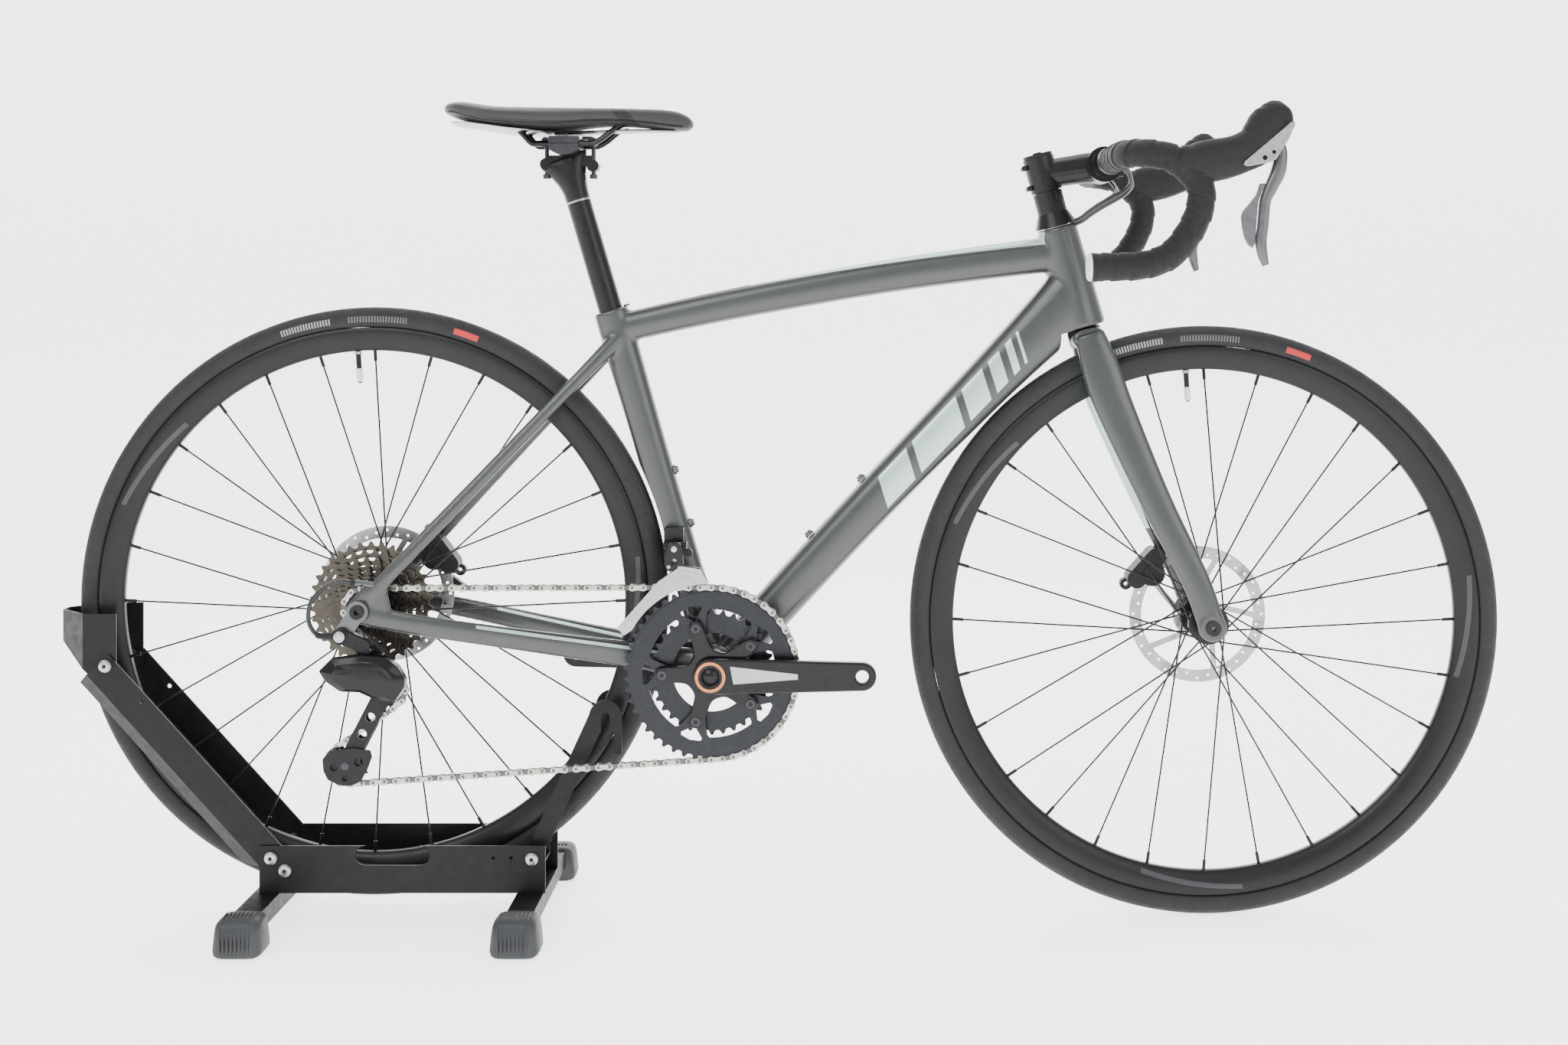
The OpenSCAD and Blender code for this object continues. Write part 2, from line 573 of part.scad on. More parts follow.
module chain_outline(w) {
    p = chain_pts;
    for (i = [0, 2, 4, 6]) bar2d(p[i], p[i + 1], w);
    arc_band(rear_axle_p, cog_r, heading(p[1] - flat(rear_axle_p)), sweep_ccw(rear_axle_p, p[1], p[2]), w);
    arc_band(guide_c, pulley_r, heading(p[3] - flat(guide_c)), -sweep_ccw(guide_c, p[4], p[3]), w);
    arc_band(tension_c, pulley_r, heading(p[5] - flat(tension_c)), sweep_ccw(tension_c, p[5], p[6]), w);
    arc_band(bb, big_r, heading(p[7] - flat(bb)), sweep_ccw(bb, p[7], p[0]), w);
}
module chain_rollers() {
    p = chain_pts;
    run_rollers(p[0], p[1], 0, 0);
    run_rollers(p[2], p[3], rest(sweep_ccw(rear_axle_p, p[1], p[2]), cog_teeth), 0);
    run_rollers(p[4], p[5], rest(sweep_ccw(guide_c, p[4], p[3]), 11), 0);
    run_rollers(p[6], p[7], rest(sweep_ccw(tension_c, p[5], p[6]), 11),
        rest(sweep_ccw(bb, p[7], p[0]), big_teeth));
    arc_rollers(rear_axle_p, cog_r, cog_phase, sweep_ccw(rear_axle_p, p[1], p[2]), cog_teeth);
    arc_rollers(guide_c, pulley_r, guide_phase, -sweep_ccw(guide_c, p[4], p[3]), 11);
    arc_rollers(tension_c, pulley_r, tension_phase, sweep_ccw(tension_c, p[5], p[6]), 11);
    arc_rollers(bb, big_r, big_phase, -sweep_ccw(bb, p[7], p[0]), big_teeth);
}
module chain() color("#a9abac") bike() {
    for (s = [-1, 1]) translate([0, s * 1.9 - chain_y, 0]) plate(-0.7, 0.7) chain_outline(7.4);
    plate(-chain_y - 1.3, 1.3 - chain_y) chain_rollers();
}
module cassette() color("#8b8c8d") bike() {
    cogs = [cog_teeth, 12, 13, 14, 16, 18, 20, 23, 26, 30, 34];
    for (i = [0 : 10]) plate(i * cog_pitch - chain_y - tooth_t / 2, i * cog_pitch - chain_y + tooth_t / 2)
        translate(flat(rear_axle_p)) rotate(i == 0 ? cog_phase : 0)
            toothed(cogs[i], cogs[i] > 20 ? pitch_r(cogs[i]) - 12 : 12);
    spun(rear_axle_p, -chain_y - 3) difference() {
        cylinder(r = 17.2, h = 10 * cog_pitch + 5);
        translate([0, 0, -1]) cylinder(r = 9.05, h = 60);
    }
    // carrier arms of the large cogs
    plate(6 * cog_pitch - chain_y, 10 * cog_pitch - chain_y) translate(flat(rear_axle_p))
        difference() {
            for (k = [0 : 5]) rotate(60 * k) translate([14, -4]) square([46, 8]);
            circle(16);
        }
}
ring_bolt_a = [36, 108, 180, 252, 324];
bcd = 110;
module ring_bolts2d(r) for (a = ring_bolt_a) rotate(a) translate([bcd / 2, 0]) circle(r);
module big_chainring() color("#2c2e30") bike() {
    plate(-chain_y - 1, 1 - chain_y) translate(flat(bb)) difference() {
        union() {
            rotate(big_phase) toothed(big_teeth, big_r - 24);
            for (a = ring_bolt_a) rotate(a) translate([bcd / 2 - 7, -9]) square([big_r - 24 - bcd / 2 + 12, 18]);
        }
        ring_bolts2d(5);
        // windows
        for (a = ring_bolt_a) for (t = [-24, 24]) rotate(a + t) translate([big_r - 15, 0]) circle(4);
    }
    // chainring bolts
    translate([bb[0], 0, bb[2]]) for (a = ring_bolt_a) rotate([0, -a, 0])
        across([bcd / 2, 0, 0], 4.9, -chain_y - 5.5, -chain_y + ring_gap + 1);
}
module small_chainring() color("#36383a") bike()
    plate(ring_gap - chain_y - 1, ring_gap - chain_y + 1) translate(flat(bb)) difference() {
        union() {
            toothed(small_teeth, bcd / 2 - 1);
            for (a = ring_bolt_a) rotate(a) translate([bcd / 2, 0]) circle(8.5);
        }
        ring_bolts2d(5);
    }
module crank_arm(y) {
    // y is the inner face; the arm points to the front wheel at rest
    difference() {
        hull() {
            across(bb, 20, y, y + arm_t, $fn = 40);
            across(bb + [crank_len, 0, 0], 16, y + 1, y + arm_t, $fn = 40);
        }
        across(bb + [crank_len, 0, 0], pedal_r, y - 1, y + arm_t + 1);
        across(bb, spindle_r - 2.5, y - 1, y + arm_t + 1);
    }
}
module crank_right() color("#18191a") bike() {
    crank_arm(-arm_y - arm_t);
    // five spider arms carry the rings
    plate(-arm_y, -chain_y - 1.1) translate(flat(bb)) difference() {
        union() {
            circle(23);
            for (a = ring_bolt_a) rotate(a) {
                translate([0, -8]) square([bcd / 2, 16]);
                translate([bcd / 2, 0]) circle(8);
            }
        }
        circle(spindle_r - 2.5);
        ring_bolts2d(5);
    }
    // hollow spindle
    spun(bb, -arm_y) difference() {
        cylinder(r = spindle_r, h = 2 * arm_y);
        translate([0, 0, -1]) cylinder(r = spindle_r - 2.5, h = 2 * arm_y + 2);
    }
    // copper ring around the spindle's mouth
    color("#b5714a") spun(bb, -arm_y - arm_t - 1.4) difference() {
        cylinder(r = 18.5, h = 1.5);
        translate([0, 0, -1]) cylinder(r = 14, h = 4);
    }
}
module crank_left() color("#18191a") bike() translate(bb) rotate([0, 180, 0]) translate(-bb) {
    crank_arm(arm_y + 0.1);
    // pinch collar and cap on the spindle
    color("#3a3c3e") spun(bb, arm_y + arm_t + 0.1) difference() {
        cylinder(r = 11, h = 2.5);
        translate([0, 0, 1]) cylinder(r = 5, h = 3, $fn = 6);
    }
    // clamp bolts
    for (x = [23, 32]) translate(bb + [x, arm_y + arm_t / 2, 14]) cylinder(r = 3.2, h = 6);
}
// front derailleur
fd_pivot = bb + [-42, -44, 142];
fd_ear = 12;
module along_x(p, r, x0, x1) {
    translate(p + [x0, 0, 0]) rotate([0, 90, 0]) cylinder(r = r, h = x1 - x0);
}
module derailleur_clamp() color("#222426") bike() {
    // bracket on the seat tube, with two lugs that hold the cage's pin
    difference() {
        union() {
            translate(seat(150) + [-13, -38, -18]) cube([22, 22, 36]);
            for (x = [-13, fd_ear / 2 + gap]) {
                along_x(fd_pivot, 6, x, x + 13 - gap - fd_ear / 2);
                translate(fd_pivot + [x, 0, -6]) cube([13 - gap - fd_ear / 2, 7, 12]);
            }
        }
        on_seat(0) translate([0, 0, 100]) loft([at([0, 0, 0], 17.5, 20), at([0, 0, 120], 17.5, 20)],
            m = 1, q = 0.85);
    }
    along_x(fd_pivot, 2.5, -13, 13);
    color("#c9cccf") across(fd_pivot + [14.8, 0, -7.7], 4.5, -42, -38);
}
module chain_guide_cage() color("#d3d5d6") bike() difference() {
    cage_out = chain_y + 6.4;
    cage_in = chain_y - 4.6;
    union() {
        for (y = [-cage_out - 1.2, -cage_in]) plate(y, y + 1.2) difference() {
            polygon([for (p = [[-12, 118], [-34, 122], [-60, 104], [-106, 52], [-98, 44], [-60, 70], [0, 96]])
                flat(bb) + p]);
            translate(flat(bb)) circle(big_r + 5.2, $fn = 120);
        }
        // bridges over the chain, and the ear on the pivot
        translate(bb + [-33, -cage_out - 1.2, 114]) cube([14, cage_out + 2.4 - cage_in, 4]);
        translate(bb + [-104, -cage_out - 1.2, 50]) cube([3, cage_out + 2.4 - cage_in, 4]);
        along_x(fd_pivot, 5, -fd_ear / 2, fd_ear / 2);
        translate([fd_pivot[0] - fd_ear / 2, -cage_in, bb[2] + 108]) cube([fd_ear, 4, fd_pivot[2] - bb[2] - 108]);
    }
    along_x(fd_pivot, 2.5 + run_fit, -20, 20);
}
// rear derailleur: the links turn about a slanted axis
slant = 60;
link_rho = 38;
link_a0 = -38;
knuckle_y = -rear_drop_y - drop_t - 5.6;
rd_b = [hanger_bolt[0] + 32.4, -chain_y - 18.8, hanger_bolt[2] - 22.7];
rd_p = rd_b + link_rho * [cos(link_a0) * cos(slant), sin(link_a0), -cos(link_a0) * sin(slant)];
link_off = 11;                       // distance between the two links' pivots
link_h = 12;
module on_slant(p) translate(p) rotate([0, slant, 0]) children();
module link() difference() {
    linear_extrude(link_h, center = true) difference() {
        strip2d([0, 0], [link_rho, 0], 8.4);
        circle(1.9 + run_fit);
        translate([link_rho, 0]) circle(1.9 + run_fit);
    }
}
module derailleur_knuckle() color("#1f2123") bike() {
    // bolt through the hanger, arm, and fork that holds both link pins
    across(hanger_bolt, 9, knuckle_y - 7, knuckle_y);
    across(hanger_bolt, 4.9, knuckle_y, knuckle_y + 12);
    color("#c9cccf") across(hanger_bolt, 6.4, knuckle_y - 9, knuckle_y - 7);
    plate(knuckle_y - 6, knuckle_y) strip2d(flat(hanger_bolt), flat(rd_b) + [-7, 12], 15);
    for (y = [0, link_off]) on_slant(rd_b + [0, y, 0]) cylinder(r = 1.9, h = link_h + 10, center = true);
    for (z = [-1, 1]) on_slant(rd_b) translate([0, 0, z * (link_h / 2 + 2.7)])
        linear_extrude(4, center = true) difference() {
            union() {
                strip2d([0, 0], [0, link_off], 9);
                strip2d([0, 0], [-14, -8], 10);
            }
        }
    // web that joins both forks behind the links
    on_slant(rd_b) translate([-19, -13.5, -link_h / 2 - 4.7]) cube([9, 12, link_h + 9.4]);
    // barrel of the cable
    translate(hanger_bolt + [-16.1, knuckle_y - 4, 0]) rotate([0, 90, 0]) cylinder(r = 3.6, h = 9);
}
module outer_link() color("#2a2c2f") bike() on_slant(rd_b) rotate(link_a0) link();
module inner_link() color("#2a2c2f") bike() on_slant(rd_b + [0, link_off, 0]) rotate(link_a0) link();
cage_axis = flat(rd_p) + 15.6 * [cos(slant), -sin(slant)];
module derailleur_cage_knuckle() color("#1f2123") bike() {
    for (y = [0, link_off]) on_slant(rd_p + [0, y, 0]) cylinder(r = 1.9, h = link_h + 10, center = true);
    for (z = [-1, 1]) on_slant(rd_p) translate([0, 0, z * (link_h / 2 + 2.7)])
        linear_extrude(4, center = true) {
            strip2d([0, 0], [0, link_off], 9);
            translate([0, -2]) square([8.5, link_off + 4]);
        }
    on_slant(rd_p) translate([4.9, -4, -link_h / 2 - 4.7]) cube([3.6, link_off + 8, link_h + 9.4]);
    // housing of the cage's spring
    across([cage_axis[0], 0, cage_axis[1]], 10, rd_p[1] - 3, -chain_y - cage_y - 2.3);
    across([cage_axis[0], 0, cage_axis[1]], 3.4, -chain_y - 9, -chain_y - 4);
}
cage_y = 5.2;                        // chain to the inner face of a cage plate
module cage2d() difference() {
    union() {
        strip2d(flat(guide_c), flat(tension_c), 20);
        translate(cage_axis) circle(10);
        bar2d(cage_axis, flat(guide_c), 16);
        translate(flat(tension_c)) circle(17);
        translate(flat(guide_c)) circle(14);
    }
    for (t = [0.36, 0.58]) translate(mix(flat(guide_c), flat(tension_c), t)) circle(5.5);
}
module pulley_cage() color("#28292b") bike() {
    difference() {
        union() {
            plate(-chain_y - cage_y - 2, -chain_y - cage_y) cage2d();
            plate(-chain_y + cage_y, -chain_y + cage_y + 1.6) difference() {
                cage2d();
                translate(cage_axis) circle(10.2);
            }
        }
        across([cage_axis[0], 0, cage_axis[1]], 3.4 + run_fit, -chain_y - 9, -chain_y - 4);
    }
    for (c = [guide_c, tension_c]) across(c, 2.5, -chain_y - cage_y, -chain_y + cage_y);
}
module pulley(c, phase) bike() {
    plate(-chain_y - 1, 1 - chain_y) translate(flat(c)) rotate(phase) difference() {
        toothed(11, 5);
        for (k = [0 : 4]) rotate(72 * k) translate([11.5, 0]) circle(2.6);
    }
    spun(c, -chain_y - cage_y + gap) difference() {
        cylinder(r = 5.5, h = 2 * cage_y - 2 * gap);
        translate([0, 0, -1]) cylinder(r = 2.5 + run_fit, h = 20);
    }
}
module guide_pulley() color("#1b1c1d") pulley(guide_c, guide_phase);
module tension_pulley() color("#1b1c1d") pulley(tension_c, tension_phase);
module shift_cable() color("#151617") bike() {
    h = rear_axle_p + [0, -rear_drop_y - drop_t / 2, 0];
    loft([for (p = [[-3, -5, 32], [-18, -8, 34], [-36, -10, 28], [-50, -12.5, 12], [-53, -13.1, -6],
        [-49, -13.1, -18], [-42, -13.1, -25], [-34, -13.1, -25.9]]) at(h + p, 2.5, 2.5)], n = 8);
}

// ---------------------------------------------------------------- fork and cockpit
module fork() color("#747b77") bike() {
    shell() difference() {
        union() {
            loft([for (y = [-24, -18, 0, 18, 24]) at(steer(fork_len - 12, 1, y), 20 - abs(y) / 12, 11)],
                ref = steer_fwd, q = 0.8);
            mirrored() loft([at(steer(fork_len - 8, 3, 22), 9, 17), at(steer(fork_len - 50, 5, 27), 9.5, 22),
                at(steer(fork_len - 95, 8, 32), 9, 22), at(steer(152, 25, 44), 8, 18),
                at(steer(56, 44, 53.5), 7, 16), at(steer(-1, fork_rake, front_drop_y + drop_t), 6.5, 15.5)],
                q = 0.85);
            mirrored() across(front_axle_p, 16, front_drop_y, front_drop_y + 13, $fn = 40);
            on_steerer(fork_len - 20) cylinder(r = 20, h = 19.4, $fn = 40);
        }
        across(front_axle_p, axle_r + 0.4, -90, 90, $fn = 32);
        across(front_axle_p, tyre_r + 4, -tyre_w / 2 - 3, tyre_w / 2 + 3, $fn = 120);
        for (y = [-90, front_drop_y - 30]) translate(front_axle_p + [-30, y < 0 ? -front_drop_y : y, -30])
            cube([60, 30, 50]);
    }
    on_steerer(fork_len - 4) cylinder(r = steerer_r, h = stem_s + stem_h / 2 - fork_len);
}
module headset_spacers() color("#1b1c1e") bike() {
    on_steerer(head_top + gap) difference() {
        cylinder(r1 = 24.5, r2 = 18, h = cover_h - gap);
        translate([0, 0, -1]) cylinder(r = steerer_r + 0.1, h = 30);
    }
    for (k = [0 : spacer_count - 1]) on_steerer(head_top + cover_h + k * spacer_h + 0.1) difference() {
        cylinder(r = 17, h = spacer_h - 0.2);
        translate([0, 0, -1]) cylinder(r = steerer_r + 0.1, h = spacer_h + 2);
    }
}
module stem() color("#1e1f21") bike() difference() {
    union() {
        on_steerer(stem_s - stem_h / 2) cylinder(r = 18, h = stem_h);
        translate(steer(stem_s)) rotate([0, 90 - stem_rise, 0]) cylinder(r1 = 16.5, r2 = 17.5, h = stem_len - 10);
        across(bar_c, 20.5, -23, 23);
    }
    on_steerer(stem_s - 40) cylinder(r = steerer_r + 0.05, h = 90);
    across(bar_c, 15.95, -30, 30);
    on_steerer(stem_s) translate([-60, -1, -30]) cube([46, 2, 60]);
}
module stem_bolts() color("#8d9093") bike() {
    // top cap and its bolt
    on_steerer(stem_s + stem_h / 2 + 0.1) {
        cylinder(r = 17, h = 4);
        translate([0, 0, 4]) difference() {
            cylinder(r = 5, h = 2);
            translate([0, 0, 0.5]) cylinder(r = 2.5, h = 3, $fn = 6);
        }
    }
    // steerer clamp bolts behind, faceplate bolts in front
    on_steerer(stem_s) for (z = [-12, 12]) translate([-19.5, -10, z]) rotate([-90, 0, 0]) cylinder(r = 3, h = 20);
    for (y = [-16, 16]) for (z = [-15, 15]) translate(bar_c + [17.2, y, z * 0.7]) rotate([0, 90, 0])
        cylinder(r = 3.6, h = 4.5);
}
hood_y = bar_half;
// One half of the handlebar: flat top, bend, ramp, drop and end
bar_path = [for (p = [[0, 0, 0], [0, 0.4, 0], [0, 0.72, 0], [4, 0.88, 0], [22, 0.985, -1], [48, 1, -7],
    [72, 1, -27], [78, 1, -48], [70, 1, -76], [48, 1, -106], [16, 1, -119], [-38, 1, -121]])
    bar_c + [p[0] * bar_reach / 78, p[1] * hood_y, p[2] * bar_drop / 121]];
module handlebar() color("#1a1b1c") bike() {
    mirrored() loft([for (p = bar_path) at(p, bar_r, bar_r)], n = 14, m = 2, ref = [1, 0, 0]);
    across(bar_c, 15.9, -34, 34);
}
function tape_stations(from) = [for (i = [from : len(bar_path) - 1])
    at(bar_path[i], bar_r + tape_t, bar_r + tape_t)];
module bar_tape() color("#2b2c2d") bike() mirrored() {
    difference() {
        loft(tape_stations(1), n = 14, m = 2, ref = [1, 0, 0]);
        loft([for (i = [0 : len(bar_path) - 1]) at(bar_path[i], bar_r + 0.05, bar_r + 0.05)],
            n = 14, m = 2, ref = [1, 0, 0]);
    }
    // end plug
    translate(bar_path[len(bar_path) - 1]) rotate([0, -90, 0]) cylinder(r = bar_r + tape_t - 0.6, h = 3.5);
}
lever_pin = lever_c + [0, -bar_half, 0];
module hood_one() difference() {
    union() {
        loft([for (p = [[-78, -12, 13, 17], [-64, -6, 16, 21], [-40, -2, 17, 20], [-18, 7, 18, 21],
            [-3, 20, 18, 23], [5, 34, 16, 24], [7, 47, 13, 17], [8, 55, 5, 6]])
            at(lever_pin + [p[0], 0, p[1]], p[2], p[3])], m = 2, q = 0.85, ref = [0, 1, 0]);
        for (y = [-13, 9]) plate(lever_pin[1] + y, lever_pin[1] + y + 4) {
            translate(flat(lever_pin)) circle(8);
            bar2d(flat(lever_pin), flat(lever_pin) + [-2, 18], 16);
        }
    }
    // the bar, and the hollow above the lever
    loft([for (i = [3 : 9]) at([bar_path[i][0], -bar_path[i][1], bar_path[i][2]], bar_r + tape_t + 0.1,
        bar_r + tape_t + 0.1)], n = 14, m = 2, ref = [1, 0, 0]);
    translate(lever_pin + [-12, -8.8, -10]) cube([52, 17.6, 18]);
    translate(lever_pin + [-2, -8.8, -4]) cube([40, 17.6, 24]);
}
module lever_hoods() color("#232425") bike() mirrored() {
    shell() hood_one();
    // pivot pin
    across(lever_pin, 2.4, lever_pin[1] - 13, lever_pin[1] + 13);
}
module lever() difference() {
    union() {
        across(lever_pin, 6, lever_pin[1] - 8.4, lever_pin[1] + 8.4);
        shell() loft([for (p = [[2, 2, 7, 5], [14, 2, 8, 6.5], [17, -10, 8, 6], [12, -30, 7.5, 5],
            [1, -60, 7, 4.2], [-6, -85, 6.5, 4], [-4, -105, 6, 4], [3, -119, 5, 3.5]])
            at(lever_pin + [p[0], 0, p[1]], p[2], p[3])], m = 2, n = 12);
    }
    across(lever_pin, 2.4 + run_fit, -bar_half - 20, -bar_half + 20);
    // slot for the paddle's ear
    translate(lever_pin + [-9, -3.3, -44]) cube([13.4, 6.6, 12]);
}
module paddle() difference() {
    p = lever_pin + [0, 0, -38];
    union() {
        plate(p[1] - 3, p[1] + 3) polygon([for (v = [[2, 3], [-6, 5], [-14, -4], [-30, -20], [-29, -32],
            [-18, -57], [-14, -53], [-8, -30], [-2.5, -5], [2, -4]]) flat(p) + v]);
    }
    translate(p + [-40, 0, 0]) rotate([0, 90, 0]) cylinder(r = 1.2 + run_fit, h = 60);
}
module lever_set() {
    lever();
    // pin that the paddle swings on
    translate(lever_pin + [-10.5, 0, -38]) rotate([0, 90, 0]) cylinder(r = 1.2, h = 19);
}
module brake_lever_right() color("#55585a") bike() lever_set();
module brake_lever_left() color("#55585a") bike() mirror([0, 1, 0]) lever_set();
module shift_paddle_right() color("#3c3e40") bike() paddle();
module shift_paddle_left() color("#3c3e40") bike() mirror([0, 1, 0]) paddle();
// Route of a hose: from under the tape, over in a loop, to the cover's front
hose_route = [[18, 80, -9], [23, 72, -17], [24, 60, -24], [20, 46, -31], [10, 32, -38], [-4, 21, -46],
    [-16, 13, -54], [-25, 8, -61]];
module brake_hoses() color("#0f1011") bike() mirrored() for (k = [0, 1])
    loft([for (p = hose_route) at(bar_c + p + k * [1.5, -5.6 + p[1] / 50, -3.4], 2.5, 2.5)], n = 8, m = 2);
module front_axle() color("#1a1b1c") bike() difference() {
    union() {
        across(front_axle_p, axle_r, -front_drop_y - 13.5, front_drop_y + 13);
        across(front_axle_p, 8, front_drop_y + 13.1, front_drop_y + 17);
        color("#8f9396") across(front_axle_p, 8.5, -front_drop_y - 16, -front_drop_y - 13.1);
    }
    across(front_axle_p, 3, -front_drop_y - 17, -front_drop_y - 8, $fn = 6);
    across(front_axle_p, 3, front_drop_y + 8, front_drop_y + 18, $fn = 6);
}

// ---------------------------------------------------------------- wheels
module tyre(p) spun(p) rotate_extrude($fn = 180) difference() {
    union() {
        translate([tyre_r - tyre_w / 2, 0]) circle(tyre_w / 2);
        translate([rim_r - 1, -rim_w / 2 + 1]) square([8, rim_w - 2]);
    }
    translate([tyre_r - tyre_w / 2 - 1, 0]) circle(tyre_w / 2 - 3.5);
    translate([rim_r - 12, -tyre_w]) square([12 + e, 2 * tyre_w]);
    translate([rim_r - 12, -rim_w / 2 + 4]) square([20, rim_w - 8]);
}
module rim(p) spun(p) rotate_extrude($fn = 180) difference() {
    polygon([[rim_in_r, -5], [rim_in_r + 4, -rim_w / 2 + 2], [rim_r - 6, -rim_w / 2], [rim_r, -rim_w / 2],
        [rim_r, rim_w / 2], [rim_r - 6, rim_w / 2], [rim_in_r + 4, rim_w / 2 - 2], [rim_in_r, 5]]);
    polygon([[rim_in_r + 2, -4], [rim_in_r + 5, 3.6 - rim_w / 2], [rim_r - 9, 1.6 - rim_w / 2],
        [rim_r - 9, rim_w / 2 - 1.6], [rim_in_r + 5, rim_w / 2 - 3.6], [rim_in_r + 2, 4]]);
    translate([rim_r - 6, -rim_w / 2 + 2]) square([7, rim_w - 4]);
}
// Spokes run from flange y to the rim, two by two crossed; lead is the angle each one gains
module spoke(r0, y0, a0, a1) {
    p0 = [r0 * cos(a0), r0 * sin(a0), y0];
    p1 = [(rim_in_r + 1) * cos(a1), (rim_in_r + 1) * sin(a1), sign(y0) * 2];
    d = p1 - p0;
    translate(p0) rotate([0, acos(d[2] / norm(d)), heading(d)]) {
        cylinder(r = spoke_r, h = norm(d), $fn = 16);
        translate([0, 0, norm(d) - 13]) cylinder(r = 1.9, h = 13, $fn = 16);
    }
}
module spokes(p, y_right, y_left) spun(p) {
    half = spoke_count / 2;
    for (k = [0 : half - 1]) {
        a = 360 * k / half;
        lead = k % 2 == 0 ? 62 : -62;
        lift_y = k % 2 == 0 ? 1.5 : -1.5;
        spoke(hub_r + 3.5, y_left + lift_y, a + lead, a);
        spoke(hub_r + 3.5, -y_right + lift_y, a + 180 / half + lead, a + 180 / half);
    }
    // valve
    rotate(-94) translate([rim_in_r - 32, 0, 0]) rotate([0, 90, 0]) {
        cylinder(r = 3, h = 34);
        translate([0, 0, -5]) cylinder(r = 2, h = 5);
    }
}
module hub(p, y0, y1, y_right, y_left, seat_r) spun(p) difference() {
    union() {
        translate([0, 0, y0]) cylinder(r = 9, h = y1 - y0);
        translate([0, 0, -y_right]) cylinder(r = seat_r, h = y_left + y_right);
        for (y = [-y_right, y_left]) translate([0, 0, y - 1]) difference() {
            translate([0, 0, -2.5]) cylinder(r = hub_r + 6, h = 7);
            for (z = [0]) translate([0, 0, -0.75]) difference() {
                cylinder(r = hub_r + 7, h = 3.5);
                translate([0, 0, -1]) cylinder(r = hub_r + 3.4, h = 6);
            }
        }
    }
    translate([0, 0, y0 - 1]) cylinder(r = axle_r + run_fit, h = y1 - y0 + 2);
}
module rotor(p, y) bike() plate(y - rotor_t / 2, y + rotor_t / 2) translate(flat(p)) difference() {
    union() {
        difference() {
            circle(rotor_r, $fn = 120);
            circle(rotor_r - 14, $fn = 96);
            for (k = [0 : 35]) rotate(10 * k) translate([rotor_r - 4.5 - 2.6 * (k % 3), 0]) circle(1.7, $fn = 16);
        }
        for (k = [0 : 4]) rotate(72 * k) translate([20, 7]) rotate(-14) square([rotor_r - 30, 6.5]);
        circle(29);
    }
    circle(17.5);
    for (k = [0 : 4]) rotate(72 * k + 36) translate([23.2, 0]) circle(3);
}
front_right_y = 32;
front_left_y = 20;
rear_right_y = 12;
rear_left_y = 32;
module front_tyre() color("#2a2b2c") bike() tyre(front_axle_p);
module rear_tyre() color("#2a2b2c") bike() tyre(rear_axle_p);
module front_rim() color("#1c1d1e") bike() rim(front_axle_p);
module rear_rim() color("#1c1d1e") bike() rim(rear_axle_p);
module front_spokes() color("#3a3c3e") bike() spokes(front_axle_p, front_right_y, front_left_y);
module rear_spokes() color("#3a3c3e") bike() spokes(rear_axle_p, rear_right_y, rear_left_y);
module front_hub() color("#17181a") bike() {
    hub(front_axle_p, -front_drop_y + gap, front_drop_y - gap, front_right_y, front_left_y, 13);
    spun(front_axle_p, front_left_y + 4.2) rotor_seat(front_rotor_y - front_left_y - 4.2);
}
module rear_hub() color("#17181a") bike() {
    // the drive side carries the freehub on a sleeve
    hub(rear_axle_p, -rear_drop_y + gap, rear_drop_y - gap, rear_right_y, rear_left_y, 13);
    spun(rear_axle_p, rear_left_y + 4.2) rotor_seat(rear_rotor_y - rear_left_y - 4.2);
}
// Seat that the rotor slides on, with its lock ring
module rotor_seat(h) difference() {
    union() {
        cylinder(r = 22, h = h - rotor_t / 2);
        cylinder(r = 17.4, h = h + 3);
        translate([0, 0, h + rotor_t / 2 + 0.05]) cylinder(r = 19.5, h = 2.6);
    }
    translate([0, 0, -1]) cylinder(r = 8.9, h = h + 6);
}
module front_rotor() color("#c4c6c8") rotor(front_axle_p, front_rotor_y);
module rear_rotor() color("#c4c6c8") rotor(rear_axle_p, rear_rotor_y);

